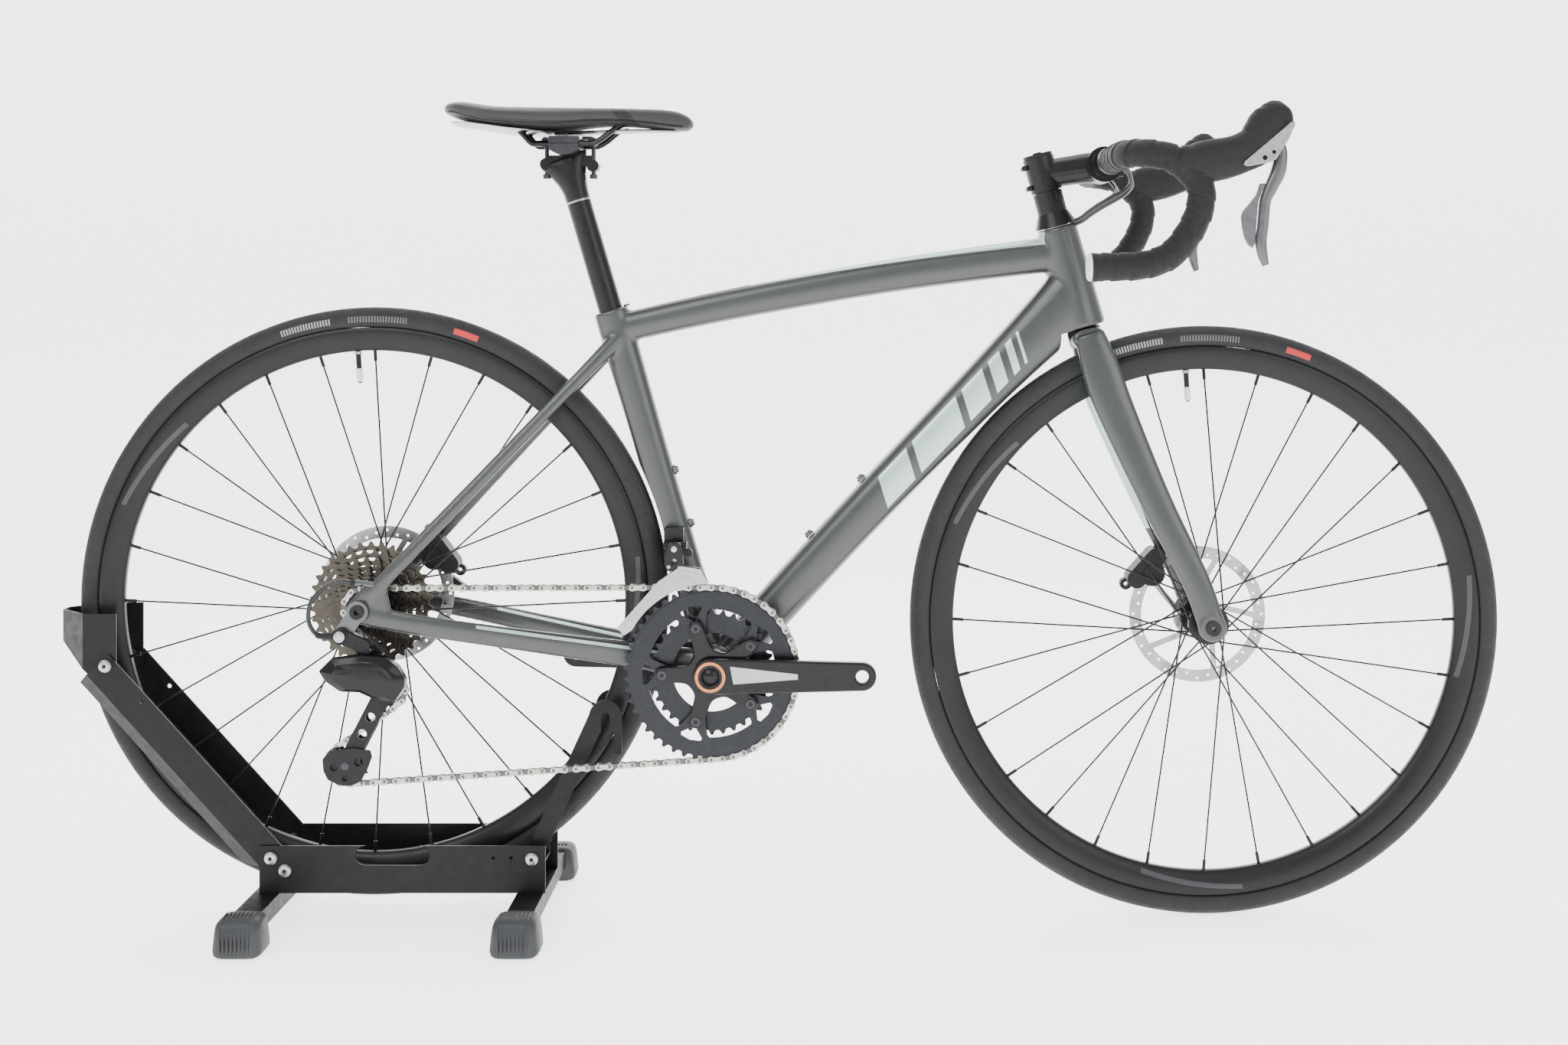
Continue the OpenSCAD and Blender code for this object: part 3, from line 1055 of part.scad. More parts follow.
// ---------------------------------------------------------------- seat
module seatpost() color("#1f2022") bike() {
    difference() {
        union() {
            on_seat(seat_tube_len - 130) cylinder(r = post_r, h = seat_height - seat_tube_len + 120);
            // head with its two bolt ears
            on_seat(seat_height - 14) rotate([0, seat_tilt, 0]) {
                across([-24, 0, -1], 7, -9, 9);
                across([30, 0, -3], 7, -9, 9);
                translate([-24, -9, -4]) cube([54, 18, 13]);
            }
        }
        across([post_head[0] + 3, 0, rail_z + 14], 27, -30, 30);
        across([post_head[0] + 3, 0, rail_z + 14], 27, -30, 30);
        for (x = [-24, 30]) translate([post_head[0] + x + 4, 0, post_head[2] - 40]) cylinder(r = 2.6, h = 60);
    }
}
module seat_clamp() color("#3b3d3f") bike() difference() {
    c = [post_head[0] + 3, 0, rail_z];
    union() {
        // lower cradle rocks on the post's head; upper cradle presses on the rails
        intersection() {
            across(c + [0, 0, 14], 26.7, -29, 29);
            translate(c + [-17, -29, -14]) cube([34, 58, 13.7]);
        }
        difference() {
            translate(c + [-17, -29, 0.3]) cube([34, 58, 8]);
            translate(c + [-25, -13, 5]) cube([50, 26, 5]);
        }
        for (x = [-24, 30]) translate([post_head[0] + x + 4, 0, post_head[2] - 28]) {
            cylinder(r = 2.5, h = 44);
            translate([0, 0, 40]) rotate([90, 0, 0]) cylinder(r = 4.5, h = 26, center = true);
            translate([0, 0, -3]) cylinder(r = 4.4, h = 5);
        }
        for (s = [-1, 1]) translate(c + [s * 12 + (s > 0 ? 7 : 0), -12, 5.2]) cube([11, 24, 4]);
    }
    mirrored() translate(c + [-60, rail_y, 0]) rotate([0, 90, 0]) cylinder(r = 3.55, h = 120);
}
saddle_x0 = post_head[0] - 135;
saddle_z = post_head[2] + saddle_rise;
// Saddle stations: place along the length, half width, drop of the top, height of the side
saddle_rows = [[0, 0.12, 14, 5], [0.03, 0.3, 6, 12], [0.12, 0.46, 0, 20], [0.28, 0.5, 4, 24], [0.45, 0.38, 8, 23],
    [0.6, 0.24, 9, 20], [0.78, 0.16, 9, 18], [0.92, 0.13, 12, 16], [0.985, 0.1, 18, 10], [1, 0.05, 24, 4]];
module saddle_body()
    loft([for (r = saddle_rows) at([saddle_x0 + r[0] * saddle_len, 0, saddle_z - r[2] - r[3] / 2],
        r[1] * saddle_w, r[3] / 2)], m = 2, n = 20, q = 0.7);
module saddle_pad() color("#2d2e30") bike() difference() {
    saddle_body();
    // channel along the middle
    translate([saddle_x0 + 90, -7, saddle_z - 14]) cube([120, 14, 14]);
}
module saddle_base() color("#151617") bike() shell() difference() {
    saddle_carrier();
    translate([0, 0, -0.2]) saddle_body();
    translate([0, 0, 2]) saddle_body();
}
module saddle_carrier() {
    rail_x = post_head[0] + 3;
    mirrored() loft([for (p = [[-57, 22, 20, 7], [-50, 22, 14], [-41, 22, 4], [-36, 22, 0.2], [-28, 22, 0], [0, 22, 0],
        [28, 22, 0], [34, 22, 0.5], [44, 22, 6], [62, 18, 20], [80, 12, 26.5], [96, 9, 27]])
        at([rail_x + p[0], p[1] * rail_y / 22, rail_z + p[2]], 3.5, 3.5)], m = 2, n = 12);
    // shell under the pad, with the sockets of the rails
    difference() {
        loft([for (r = [[0.04, 0.24, 21], [0.12, 0.4, 23], [0.28, 0.43, 29.4], [0.45, 0.32, 32.4], [0.6, 0.2, 30.6],
            [0.78, 0.13, 28.6], [0.93, 0.09, 28.6]])
            at([saddle_x0 + r[0] * saddle_len, 0, saddle_z - r[2] - 2.4], r[1] * saddle_w, 1.8)], m = 2, n = 16);
    }
    mirrored() translate([rail_x - 62, rail_y - 7, rail_z + 17]) cube([12, 14, 9]);
}

stand_base();
stand_cross_tubes();
stand_feet();
stand_rear_arm();
stand_wheel_cup();
stand_bolts();
stand_front_guide();
frame();
bearings();
frame_hardware();
rear_axle();
rear_caliper();
rear_pad_left();
rear_pad_right();
derailleur_clamp();
chain_guide_cage();
shift_cable();
chain();
fork();
headset_spacers();
stem();
stem_bolts();
handlebar();
bar_tape();
lever_hoods();
brake_hoses();
front_caliper();
front_axle();
front_pad_left();
front_pad_right();
brake_lever_right();
brake_lever_left();
shift_paddle_right();
shift_paddle_left();
front_tyre();
front_rim();
front_spokes();
front_hub();
front_rotor();
rear_tyre();
rear_rim();
rear_spokes();
rear_hub();
rear_rotor();
cassette();
crank_right();
crank_left();
big_chainring();
small_chainring();
derailleur_knuckle();
outer_link();
inner_link();
derailleur_cage_knuckle();
pulley_cage();
guide_pulley();
tension_pulley();
seatpost();
seat_clamp();
saddle_pad();
saddle_base();
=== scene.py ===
import json
from math import asin, atan2, copysign, cos, exp, hypot, pi, radians, sin

import bmesh
import bpy
from mathutils import Matrix, Vector


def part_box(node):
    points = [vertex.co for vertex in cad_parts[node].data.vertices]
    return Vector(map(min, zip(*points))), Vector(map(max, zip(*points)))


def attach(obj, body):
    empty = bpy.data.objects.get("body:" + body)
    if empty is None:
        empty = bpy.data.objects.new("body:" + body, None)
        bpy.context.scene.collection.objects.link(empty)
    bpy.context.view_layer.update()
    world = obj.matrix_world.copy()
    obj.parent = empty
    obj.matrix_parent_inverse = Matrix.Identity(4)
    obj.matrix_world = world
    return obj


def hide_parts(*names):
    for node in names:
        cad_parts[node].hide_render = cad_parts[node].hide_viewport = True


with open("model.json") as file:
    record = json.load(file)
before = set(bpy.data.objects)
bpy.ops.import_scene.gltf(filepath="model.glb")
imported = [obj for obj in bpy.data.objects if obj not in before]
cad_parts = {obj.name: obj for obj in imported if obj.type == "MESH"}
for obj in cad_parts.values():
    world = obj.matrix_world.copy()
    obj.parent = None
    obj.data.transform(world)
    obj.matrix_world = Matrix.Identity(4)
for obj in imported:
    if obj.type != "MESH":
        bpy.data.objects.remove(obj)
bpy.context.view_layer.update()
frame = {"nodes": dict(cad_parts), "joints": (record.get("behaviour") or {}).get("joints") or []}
NODES = frame["nodes"]


# ---- places
JOINT = {j["name"]: j for j in frame["joints"]}


def joint_at(name):
    return Vector(JOINT[name]["pos_m"])


# centres and axes of the joints, and sizes that the pieces share
REAR = joint_at("rear_wheel_spin")
FRONT = joint_at("front_wheel_spin")
BB = joint_at("crank_spin")
GUIDE = joint_at("guide_pulley_spin")
TENSION = joint_at("tension_pulley_spin")
LEVER = joint_at("brake_right")
OX = REAR.x
UP = Vector(JOINT["steer"]["axis"])
FWD = Vector((UP.z, 0, -UP.x))
SEAT_UP = Vector(JOINT["seatpost_height"]["axis"])
SEAT_FWD = Vector((SEAT_UP.z, 0, -SEAT_UP.x))
RAKE = 0.0483
HEAD_S = 0.362
HEAD_LEN = 0.121
CHAIN_Y = -0.054
TYRE_R = 0.340
RIM_R, RIM_DEPTH = TYRE_R - 0.0235, 0.027
BLACK = (0.02, 0.02, 0.022)
NEAR = Vector((0, -1, 0))


def steer(s, f=0.0, y=0.0):
    return FRONT + (f - RAKE) * FWD + s * UP + Vector((0, y, 0))


def seat(s, f=0.0, y=0.0):
    return BB + s * SEAT_UP + f * SEAT_FWD + Vector((0, y, 0))


def around(origin, pairs):
    """Points in x and z, in millimetres from origin."""
    return [(origin.x + u / 1000, origin.z + v / 1000) for u, v in pairs]


# along the steerer: headset cover, spacers, and half the stem's height
STEM_S = HEAD_S + HEAD_LEN + 0.016 + 0.025 + 0.021
STEM_LENGTH, STEM_RISE = 0.07, radians(8.8)
BAR = Vector((steer(STEM_S).x + STEM_LENGTH * cos(STEM_RISE), 0,
              steer(STEM_S).z + STEM_LENGTH * sin(STEM_RISE)))
# ends of the frame's tubes
TOP_TUBE = seat(0.404), steer(HEAD_S + HEAD_LEN - 0.032)
DOWN_TUBE = BB + Vector((0, 0, -0.010)), steer(HEAD_S + 0.038)
CHAIN_STAY = REAR + Vector((0.010, 0, -0.006))


# ---- materials
def socket(bsdf, **values):
    names = {"base": "Base Color", "rough": "Roughness", "metal": "Metallic", "spec": "Specular IOR Level",
             "coat": "Coat Weight", "coat_rough": "Coat Roughness", "sheen": "Sheen Weight",
             "sheen_rough": "Sheen Roughness"}
    for key, value in values.items():
        bsdf.inputs[names[key]].default_value = (*value, 1) if key == "base" else value


class Mat:
    """A node material: a base colour that noise varies, roughness that noise varies, and bump."""

    def __init__(self, name, color, rough=0.5, metal=0.0, **extra):
        self.mat = bpy.data.materials.new(name)
        self.mat.use_nodes = True
        self.tree = self.mat.node_tree
        self.bsdf = self.tree.nodes["Principled BSDF"]
        socket(self.bsdf, base=color, rough=rough, metal=metal, **extra)
        self.co = self.tree.nodes.new("ShaderNodeTexCoord").outputs["Object"]
        self.color = None
        self.height = None
        self.base = color

    def node(self, kind, **values):
        n = self.tree.nodes.new(kind)
        for key, value in values.items():
            setattr(n, key, value)
        return n

    def link(self, a, b):
        if isinstance(a, (int, float)):
            b.default_value = a
        else:
            self.tree.links.new(a, b)

    def math(self, op, a, b=0.0, c=0.0):
        n = self.node("ShaderNodeMath", operation=op)
        for i, v in enumerate((a, b, c)):
            self.link(v, n.inputs[i])
        return n.outputs[0]

    def mul(self, a, b):
        return self.math("MULTIPLY", a, b)

    def add(self, a, b):
        return self.math("ADD", a, b)

    def sub(self, a, b):
        return self.math("SUBTRACT", a, b)

    def above(self, a, b):
        return self.math("GREATER_THAN", a, b)

    def abs(self, a):
        return self.math("ABSOLUTE", a)

    def sine(self, a):
        return self.math("SINE", a)

    def radius(self, x, z):
        return self.math("SQRT", self.add(self.mul(x, x), self.mul(z, z)))

    def noise(self, scale, detail=3.0, rough=0.5):
        n = self.node("ShaderNodeTexNoise")
        self.link(self.co, n.inputs["Vector"])
        n.inputs["Scale"].default_value = scale
        n.inputs["Detail"].default_value = detail
        n.inputs["Roughness"].default_value = rough
        return n.outputs["Fac"]

    def voronoi(self, scale):
        n = self.node("ShaderNodeTexVoronoi")
        self.link(self.co, n.inputs["Vector"])
        n.inputs["Scale"].default_value = scale
        return n.outputs["Distance"]

    def xyz(self, origin=(0, 0, 0)):
        sub = self.node("ShaderNodeVectorMath", operation="SUBTRACT")
        self.link(self.co, sub.inputs[0])
        sub.inputs[1].default_value = origin
        sep = self.node("ShaderNodeSeparateXYZ")
        self.link(sub.outputs[0], sep.inputs[0])
        return sep.outputs

    def ramp(self, fac, stops):
        n = self.node("ShaderNodeValToRGB")
        self.link(fac, n.inputs[0])
        els = n.color_ramp.elements
        while len(els) < len(stops):
            els.new(0.5)
        for el, (pos, value) in zip(els, stops):
            el.position = pos
            el.color = (value, value, value, 1) if isinstance(value, (int, float)) else (*value, 1)
        return n.outputs[0]

    def mix(self, fac, a, b):
        n = self.node("ShaderNodeMix", data_type="RGBA")
        self.link(fac, n.inputs[0])
        for v, i in ((a, 6), (b, 7)):
            if isinstance(v, tuple):
                n.inputs[i].default_value = (*v, 1)
            else:
                self.link(v, n.inputs[i])
        return n.outputs[2]

    def vary(self, scale=30.0, amount=0.12, detail=4.0):
        """The colour drifts a little, as wear and dust make it."""
        dark = tuple(c * (1 - amount) for c in self.base)
        light = tuple(min(1, c * (1 + amount)) for c in self.base)
        self.color = self.mix(self.noise(scale, detail), dark, light)
        return self

    def over(self, mask, color):
        self.color = self.mix(mask, self.color or self.base, color)
        return self

    def roughness(self, scale, low, high, detail=4.0):
        self.link(self.ramp(self.noise(scale, detail), [(0.3, low), (0.7, high)]), self.bsdf.inputs["Roughness"])
        return self

    def bump(self, height, strength=0.3, distance=0.0005):
        n = self.node("ShaderNodeBump")
        n.inputs["Strength"].default_value = strength
        n.inputs["Distance"].default_value = distance
        self.link(height, n.inputs["Height"])
        if self.height is not None:
            self.tree.links.new(self.height, n.inputs["Normal"])
        self.height = n.outputs[0]
        return self

    def done(self):
        if self.color is not None:
            self.link(self.color, self.bsdf.inputs["Base Color"])
        if self.height is not None:
            self.link(self.height, self.bsdf.inputs["Normal"])
        return self.mat


def band(m, v, lo, hi):
    """1 where lo < v < hi."""
    return m.mul(m.above(v, lo), m.math("LESS_THAN", v, hi))


def simple(name, color, rough, metal=0.0, scale=40.0, amount=0.12, bump=0.0, bump_scale=900.0, **extra):
    m = Mat(name, color, rough, metal, **extra).vary(scale, amount)
    m.roughness(scale * 2.3, max(0.04, rough - 0.07), min(1, rough + 0.08))
    if bump:
        m.bump(m.noise(bump_scale, 2.0), bump, 0.0003)
    return m.done()


def radial_metal(name, color, rough, centre, metal=1.0, scale=2600.0):
    """Turned or ground metal with fine rings about a Y axis."""
    m = Mat(name, color, rough, metal)
    x, _, z = m.xyz(centre)
    r = m.radius(x, z)
    wave = m.sine(m.mul(r, scale * 2.4))
    m.vary(60, 0.14)
    m.bump(wave, 0.12, 0.0001)
    m.roughness(220, max(0.05, rough - 0.06), rough + 0.1)
    return m.done()


def paint(name):
    """Satin metallic paint with fine flake, mint accents and a few generic stripes."""
    grey, mint = (0.042, 0.0455, 0.044), (0.40, 0.54, 0.51)
    m = Mat(name, grey, 0.34, 0.45, coat=0.3, coat_rough=0.24).vary(9, 0.07)
    flake = m.ramp(m.voronoi(2600), [(0.0, 1.0), (0.35, 0.0)])
    m.over(m.mul(flake, 0.2), (0.13, 0.14, 0.137))
    return m, mint


def lacquered(m):
    m.roughness(70, 0.27, 0.36)
    m.bump(m.noise(240, 2), 0.03, 0.0004)
    return m.done()


def frame_paint():
    m, mint = paint("frame_paint")
    x, y, z = m.xyz()
    # stripe along the top edge of the top tube, wider towards the head
    a, b = TOP_TUBE
    t = m.math("DIVIDE", m.sub(x, a.x), b.x - a.x)
    bow = m.mul(m.mul(t, m.sub(1.0, t)), 0.034)
    line = m.add(m.math("MULTIPLY_ADD", t, b.z - a.z, a.z), bow)
    above = m.sub(z, line)
    top = m.above(above, m.math("MULTIPLY_ADD", t, -0.0065, 0.0185))
    where = m.mul(band(m, t, 0.30, 0.955), m.above(above, 0.0))
    m.over(m.mul(top, where), mint)
    thin = band(m, m.sub(above, m.math("MULTIPLY_ADD", t, -0.0065, 0.0165)), -0.0012, 0.0)
    m.over(m.mul(thin, band(m, t, 0.5, 0.93)), BLACK)
    # slanted blocks on the sides of the down tube
    c, d = DOWN_TUBE
    axis = (d - c).normalized()
    u = m.add(m.mul(m.sub(x, c.x), axis.x), m.mul(m.sub(z, c.z), axis.z))
    v = m.sub(m.mul(m.sub(z, c.z), axis.x), m.mul(m.sub(x, c.x), axis.z))
    v = m.sub(v, 0.004)
    slant = m.sub(u, m.mul(v, 0.55))
    side = m.above(m.abs(y), 0.009)
    inside = m.mul(band(m, v, -0.0155, 0.0175), side)
    for lo, hi in ((0.286, 0.332), (0.342, 0.414), (0.424, 0.458), (0.468, 0.486), (0.496, 0.506), (0.514, 0.518)):
        m.over(m.mul(band(m, slant, lo, hi), inside), mint)
    # a pair of lines along the top of the chain stays
    e = CHAIN_STAY
    g = (BB - e).normalized()
    w = m.sub(m.mul(m.sub(z, e.z), g.x), m.mul(m.sub(x, e.x), g.z))
    low = m.mul(band(m, x, OX + 0.13, OX + 0.345), m.above(m.abs(y), 0.02))
    m.over(m.mul(band(m, w, 0.0065, 0.0100), low), mint)
    m.over(m.mul(band(m, w, 0.0100, 0.0120), low), BLACK)
    return lacquered(m)


def fork_paint():
    m, mint = paint("fork_paint")
    _, y, z = m.xyz(FRONT)
    inner = m.math("LESS_THAN", m.abs(y), m.math("MULTIPLY_ADD", z, -0.1, 0.0565))
    m.over(m.mul(inner, band(m, z, 0.10, 0.30)), mint)
    return lacquered(m)


def tyre_rubber(name, centre):
    """Rubber with a fine ring texture, dust, sipes on the shoulder painted as dark lines of shade, and a plain
    moulded panel.
    """
    m = Mat(name, (0.0165, 0.017, 0.018), 0.62, spec=0.2).vary(26, 0.22)
    x, y, z = m.xyz(centre)
    r = m.radius(x, z)
    ang = m.math("ARCTAN2", z, x)
    crown = m.above(r, TYRE_R - 0.0062)
    rings = m.sine(m.mul(y, 9000))
    # sipes: thin dark lines with no relief, painted shade of the cuts in the rubber
    sipe_shade = m.sine(m.add(m.mul(ang, 240), m.mul(m.abs(y), 1400)))
    sipe_shade = m.mul(m.above(sipe_shade, 0.93), band(m, m.abs(y), 0.0055, 0.0105))
    m.over(m.mul(crown, 0.35), (0.032, 0.033, 0.034))
    m.over(m.mul(sipe_shade, 0.7), (0.008, 0.008, 0.009))
    side = m.mul(band(m, r, TYRE_R - 0.0175, TYRE_R - 0.0105), m.above(m.abs(y), 0.006))
    for lo, hi, tone in ((1.72, 1.90, 0.30), (1.45, 1.66, 0.10)):
        hatch = m.above(m.sine(m.mul(ang, 620)), -0.2)
        m.over(m.mul(m.mul(band(m, ang, lo, hi), side), m.mul(hatch, tone)), (0.75, 0.76, 0.76))
    m.over(m.mul(band(m, ang, 1.19, 1.28), side), (0.42, 0.03, 0.035))
    m.bump(m.mul(rings, crown), 0.15, 0.0002)
    m.bump(m.sine(m.mul(r, 5200)), 0.1, 0.0002)
    m.bump(m.noise(1500, 2), 0.2, 0.0002)
    m.roughness(140, 0.55, 0.74)
    return m.done()


def rim_carbon(name, centre):
    """Satin black rim with a dim grey swoosh on two sides."""
    m = Mat(name, (0.009, 0.0093, 0.010), 0.36, 0.25, coat=0.1, coat_rough=0.3, spec=0.2).vary(30, 0.2)
    x, _, z = m.xyz(centre)
    r = m.radius(x, z)
    ang = m.math("ARCTAN2", z, x)
    for start in (-0.25, 2.35, -1.85):
        k = m.sub(ang, start)
        slope = m.sub(r, m.math("MULTIPLY_ADD", k, 0.030, 0.2935))
        m.over(m.mul(m.mul(band(m, slope, 0.0, 0.0055), band(m, k, 0.03, 0.42)), 0.75), (0.052, 0.053, 0.056))
    m.roughness(160, 0.3, 0.45)
    m.bump(m.noise(900, 2), 0.05, 0.0002)
    return m.done()


def tape_material():
    m = Mat("bar_tape", (0.0085, 0.0086, 0.0094), 0.66, spec=0.2, sheen=0.05, sheen_rough=0.5).vary(45, 0.22)
    dots = m.ramp(m.voronoi(1100), [(0.0, 0.0), (0.35, 1.0)])
    m.bump(dots, 0.22, 0.0004)
    m.bump(m.noise(420, 3), 0.16, 0.0006)
    m.roughness(160, 0.56, 0.78)
    return m.done()


def saddle_cover():
    m = Mat("saddle_cover", (0.019, 0.0195, 0.0205), 0.55, spec=0.35, sheen=0.08, sheen_rough=0.5).vary(18, 0.16)
    x, y, z = m.xyz()
    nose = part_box("saddle_pad")[1][0]
    dark = band(m, m.add(x, m.mul(z, 0.9)), nose - 0.088 + 0.9 * 0.92, nose - 0.07 + 0.9 * 0.92)
    m.over(dark, (0.0045, 0.0045, 0.005))
    m.bump(m.voronoi(1500), 0.22, 0.0003)
    m.bump(m.noise(130, 4), 0.12, 0.0006)
    m.roughness(120, 0.48, 0.64)
    return m.done()


def hatch():
    """Bright metal with fine slanting lines."""
    m = Mat("hatched_silver", (0.50, 0.51, 0.52), 0.3, 1.0).vary(80, 0.1)
    x, _, z = m.xyz()
    line = m.sine(m.mul(m.add(x, m.mul(z, 1.7)), 2600))
    m.over(m.mul(m.above(line, 0.1), 0.6), (0.06, 0.06, 0.065))
    m.roughness(160, 0.24, 0.38)
    m.bump(line, 0.15, 0.0002)
    return m.done()


def powder(name, color=(0.0048, 0.005, 0.0055), rough=0.42):
    m = Mat(name, color, rough, spec=0.2).vary(22, 0.3)
    m.bump(m.noise(1300, 2), 0.16, 0.0003)
    m.bump(m.noise(35, 2), 0.03, 0.001)
    m.roughness(90, rough - 0.06, rough + 0.12)
    scuff = m.ramp(m.noise(190, 6, 0.7), [(0.68, 0.0), (0.78, 1.0)])
    m.over(m.mul(scuff, 0.14), (0.05, 0.05, 0.05))
    return m.done()


M = {
    "frame": frame_paint(), "fork": fork_paint(),
    "front_tyre": tyre_rubber("front_tyre_rubber", FRONT), "rear_tyre": tyre_rubber("rear_tyre_rubber", REAR),
    "front_rim": rim_carbon("front_rim_black", FRONT), "rear_rim": rim_carbon("rear_rim_black", REAR),
    "tape": tape_material(), "saddle": saddle_cover(), "stand": powder("stand_powder_coat"),
    "foot": simple("foot_plastic", (0.026, 0.028, 0.030), 0.52, bump=0.2, spec=0.35),
    "bolt": simple("bolt_steel", (0.40, 0.40, 0.39), 0.28, 1.0, 90, 0.12, 0.05),
    "black": simple("satin_black", (0.007, 0.007, 0.008), 0.3, 0.1, 45, 0.25, 0.04, coat=0.04, spec=0.22),
    "matte": simple("matte_black", (0.008, 0.008, 0.009), 0.46, 0.0, 60, 0.25, 0.12, spec=0.22),
    "gloss": simple("gloss_black", (0.005, 0.005, 0.006), 0.16, 0.0, 40, 0.3, 0.02, coat=0.06, spec=0.2),
    "grey": simple("grey_anodised", (0.035, 0.036, 0.039), 0.34, 0.6, 50, 0.2, 0.06),
    "ring": radial_metal("ring_black", (0.020, 0.021, 0.024), 0.32, BB, 0.75, 1500),
    "silver": simple("silver_alloy", (0.36, 0.365, 0.37), 0.28, 1.0, 70, 0.1, 0.015),
    "chain": simple("chain_plates", (0.40, 0.39, 0.355), 0.27, 1.0, 240, 0.22, 0.05),
    # the chain's inner plates, rollers and pins: partly their own darker steel, partly painted shade between the
    # outer plates
    "roller": simple("chain_rollers", (0.10, 0.096, 0.09), 0.34, 1.0, 240, 0.25),
    "cogs": radial_metal("cog_steel", (0.062, 0.056, 0.047), 0.30, REAR, 1.0, 1800),
    "front_rotor": radial_metal("front_rotor_steel", (0.33, 0.335, 0.34), 0.26, FRONT),
    "rear_rotor": radial_metal("rear_rotor_steel", (0.33, 0.335, 0.34), 0.26, REAR),
    "hood": simple("hood_rubber", (0.0085, 0.0085, 0.0095), 0.6, 0.0, 60, 0.2, 0.25, 1600.0, spec=0.22),
    "hose": simple("hose_sleeve", (0.007, 0.007, 0.008), 0.3, 0.0, 120, 0.3, 0.05),
    "lever": simple("lever_grey", (0.095, 0.097, 0.102), 0.28, 0.6, 60, 0.16, 0.015),
    "paddle": simple("paddle_grey", (0.115, 0.117, 0.122), 0.28, 0.65, 60, 0.14, 0.015),
    "pad": simple("brake_pad", (0.16, 0.115, 0.075), 0.8, 0.1, 300, 0.35, 0.4),
    "copper": simple("copper_ring", (0.46, 0.17, 0.075), 0.27, 1.0, 90, 0.15, 0.04),
    "white": simple("pale_plastic", (0.62, 0.65, 0.66), 0.4, 0.0, 70, 0.08, 0.05),
    "hatch": hatch(),
}


# the CAD nodes that wear each material; those that visual pieces replace are painted too
PAINT = {
    "stand": "stand_base stand_cross_tubes stand_rear_arm stand_wheel_cup stand_front_guide",
    "foot": "stand_feet", "bolt": "stand_bolts bearings", "frame": "frame", "fork": "fork",
    "lever": "frame_hardware brake_lever_right brake_lever_left", "silver": "chain_guide_cage", "chain": "chain",
    "black": "rear_axle derailleur_clamp stem handlebar front_axle crank_right crank_left front_hub rear_hub "
             "seatpost headset_spacers front_spokes rear_spokes",
    "matte": "stem_bolts rear_caliper front_caliper derailleur_knuckle derailleur_cage_knuckle pulley_cage "
             "guide_pulley tension_pulley",
    "pad": "rear_pad_left rear_pad_right front_pad_left front_pad_right", "hose": "shift_cable brake_hoses",
    "tape": "bar_tape", "hood": "lever_hoods", "paddle": "shift_paddle_right shift_paddle_left",
    "grey": "outer_link inner_link seat_clamp", "ring": "big_chainring small_chainring", "cogs": "cassette",
    "gloss": "saddle_base", "saddle": "saddle_pad",
}
PAINT.update({f"{side}_{part}": f"{side}_{part}" for side in ("front", "rear") for part in ("tyre", "rim", "rotor")})
for key, names in PAINT.items():
    for name in names.split():
        NODES[name].data.materials.clear()
        NODES[name].data.materials.append(M[key])


# ---- building
def linked(name, data):
    obj = bpy.data.objects.new(name, data)
    bpy.context.scene.collection.objects.link(obj)
    return obj


def cleaned(data, merge=0.0):
    """Merges points that lie together, and turns the faces outwards."""
    bm = bmesh.new()
    bm.from_mesh(data)
    if merge:
        bmesh.ops.remove_doubles(bm, verts=bm.verts, dist=merge)
    bmesh.ops.recalc_face_normals(bm, faces=bm.faces)
    bm.to_mesh(data)
    bm.free()


def mesh_object(name, verts, faces, material, smooth=True):
    data = bpy.data.meshes.new(name)
    data.from_pydata([tuple(v) for v in verts], [], faces)
    data.validate()
    data.update()
    obj = linked(name, data)
    data.materials.append(material)
    if smooth:
        data.polygons.foreach_set("use_smooth", [True] * len(data.polygons))
    cleaned(data)
    return obj


def apply_all(obj):
    bpy.context.view_layer.update()
    deps = bpy.context.evaluated_depsgraph_get()
    data = bpy.data.meshes.new_from_object(obj.evaluated_get(deps))
    old = obj.data
    obj.modifiers.clear()
    obj.data = data
    bpy.data.meshes.remove(old)
    return obj


def modify(obj, kind, **values):
    m = obj.modifiers.new(kind.lower(), kind)
    for key, value in values.items():
        setattr(m, key, value)
    return m


def sharpen(obj, width=0.0006, angle=35, segments=2):
    modify(obj, "BEVEL", width=width, segments=segments, limit_method="ANGLE",
           angle_limit=radians(angle), harden_normals=True)
    return apply_all(obj)


def hermite(a, b, c, d, t):
    return [0.5 * (2 * q + (r - p) * t + (2 * p - 5 * q + 4 * r - s) * t * t + (3 * q - p - 3 * r + s) * t ** 3)
            for p, q, r, s in zip(a, b, c, d)]


def smooth(st, m):
    out = []
    last = len(st) - 1
    for i in range(last):
        for j in range(m):
            out.append(hermite(st[max(i - 1, 0)], st[i], st[i + 1], st[min(i + 2, last)], j / m))
    return out + [list(st[-1])]


def swell(c, q):
    return copysign(abs(c) ** q, c)


def loft_rows(stations, m=6, n=32, q=1.0, ref=(0, 1, 0), wave=None):
    """Rings of points along a smooth path; a station is (point, half width, half height)."""
    rows = smooth([(*p, w, h) for p, w, h in stations], m)
    side = Vector(ref)
    rings, count, run = [], len(rows), 0.0
    for i, r in enumerate(rows):
        a, b = rows[min(i + 1, count - 1)], rows[max(i - 1, 0)]
        t = (Vector(a[:3]) - Vector(b[:3])).normalized()
        side = (side - side.dot(t) * t).normalized()
        up = t.cross(side)
        if i:
            run += (Vector(r[:3]) - Vector(rows[i - 1][:3])).length
        ring = []
        for k in range(n):
            a = 2 * pi * k / n
            grow = wave(run, k / n) if wave else 0.0
            ring.append(Vector(r[:3]) + swell(cos(a), q) * (r[3] + grow) * side
                        + swell(sin(a), q) * (r[4] + grow) * up)
        rings.append(ring)
    return rings


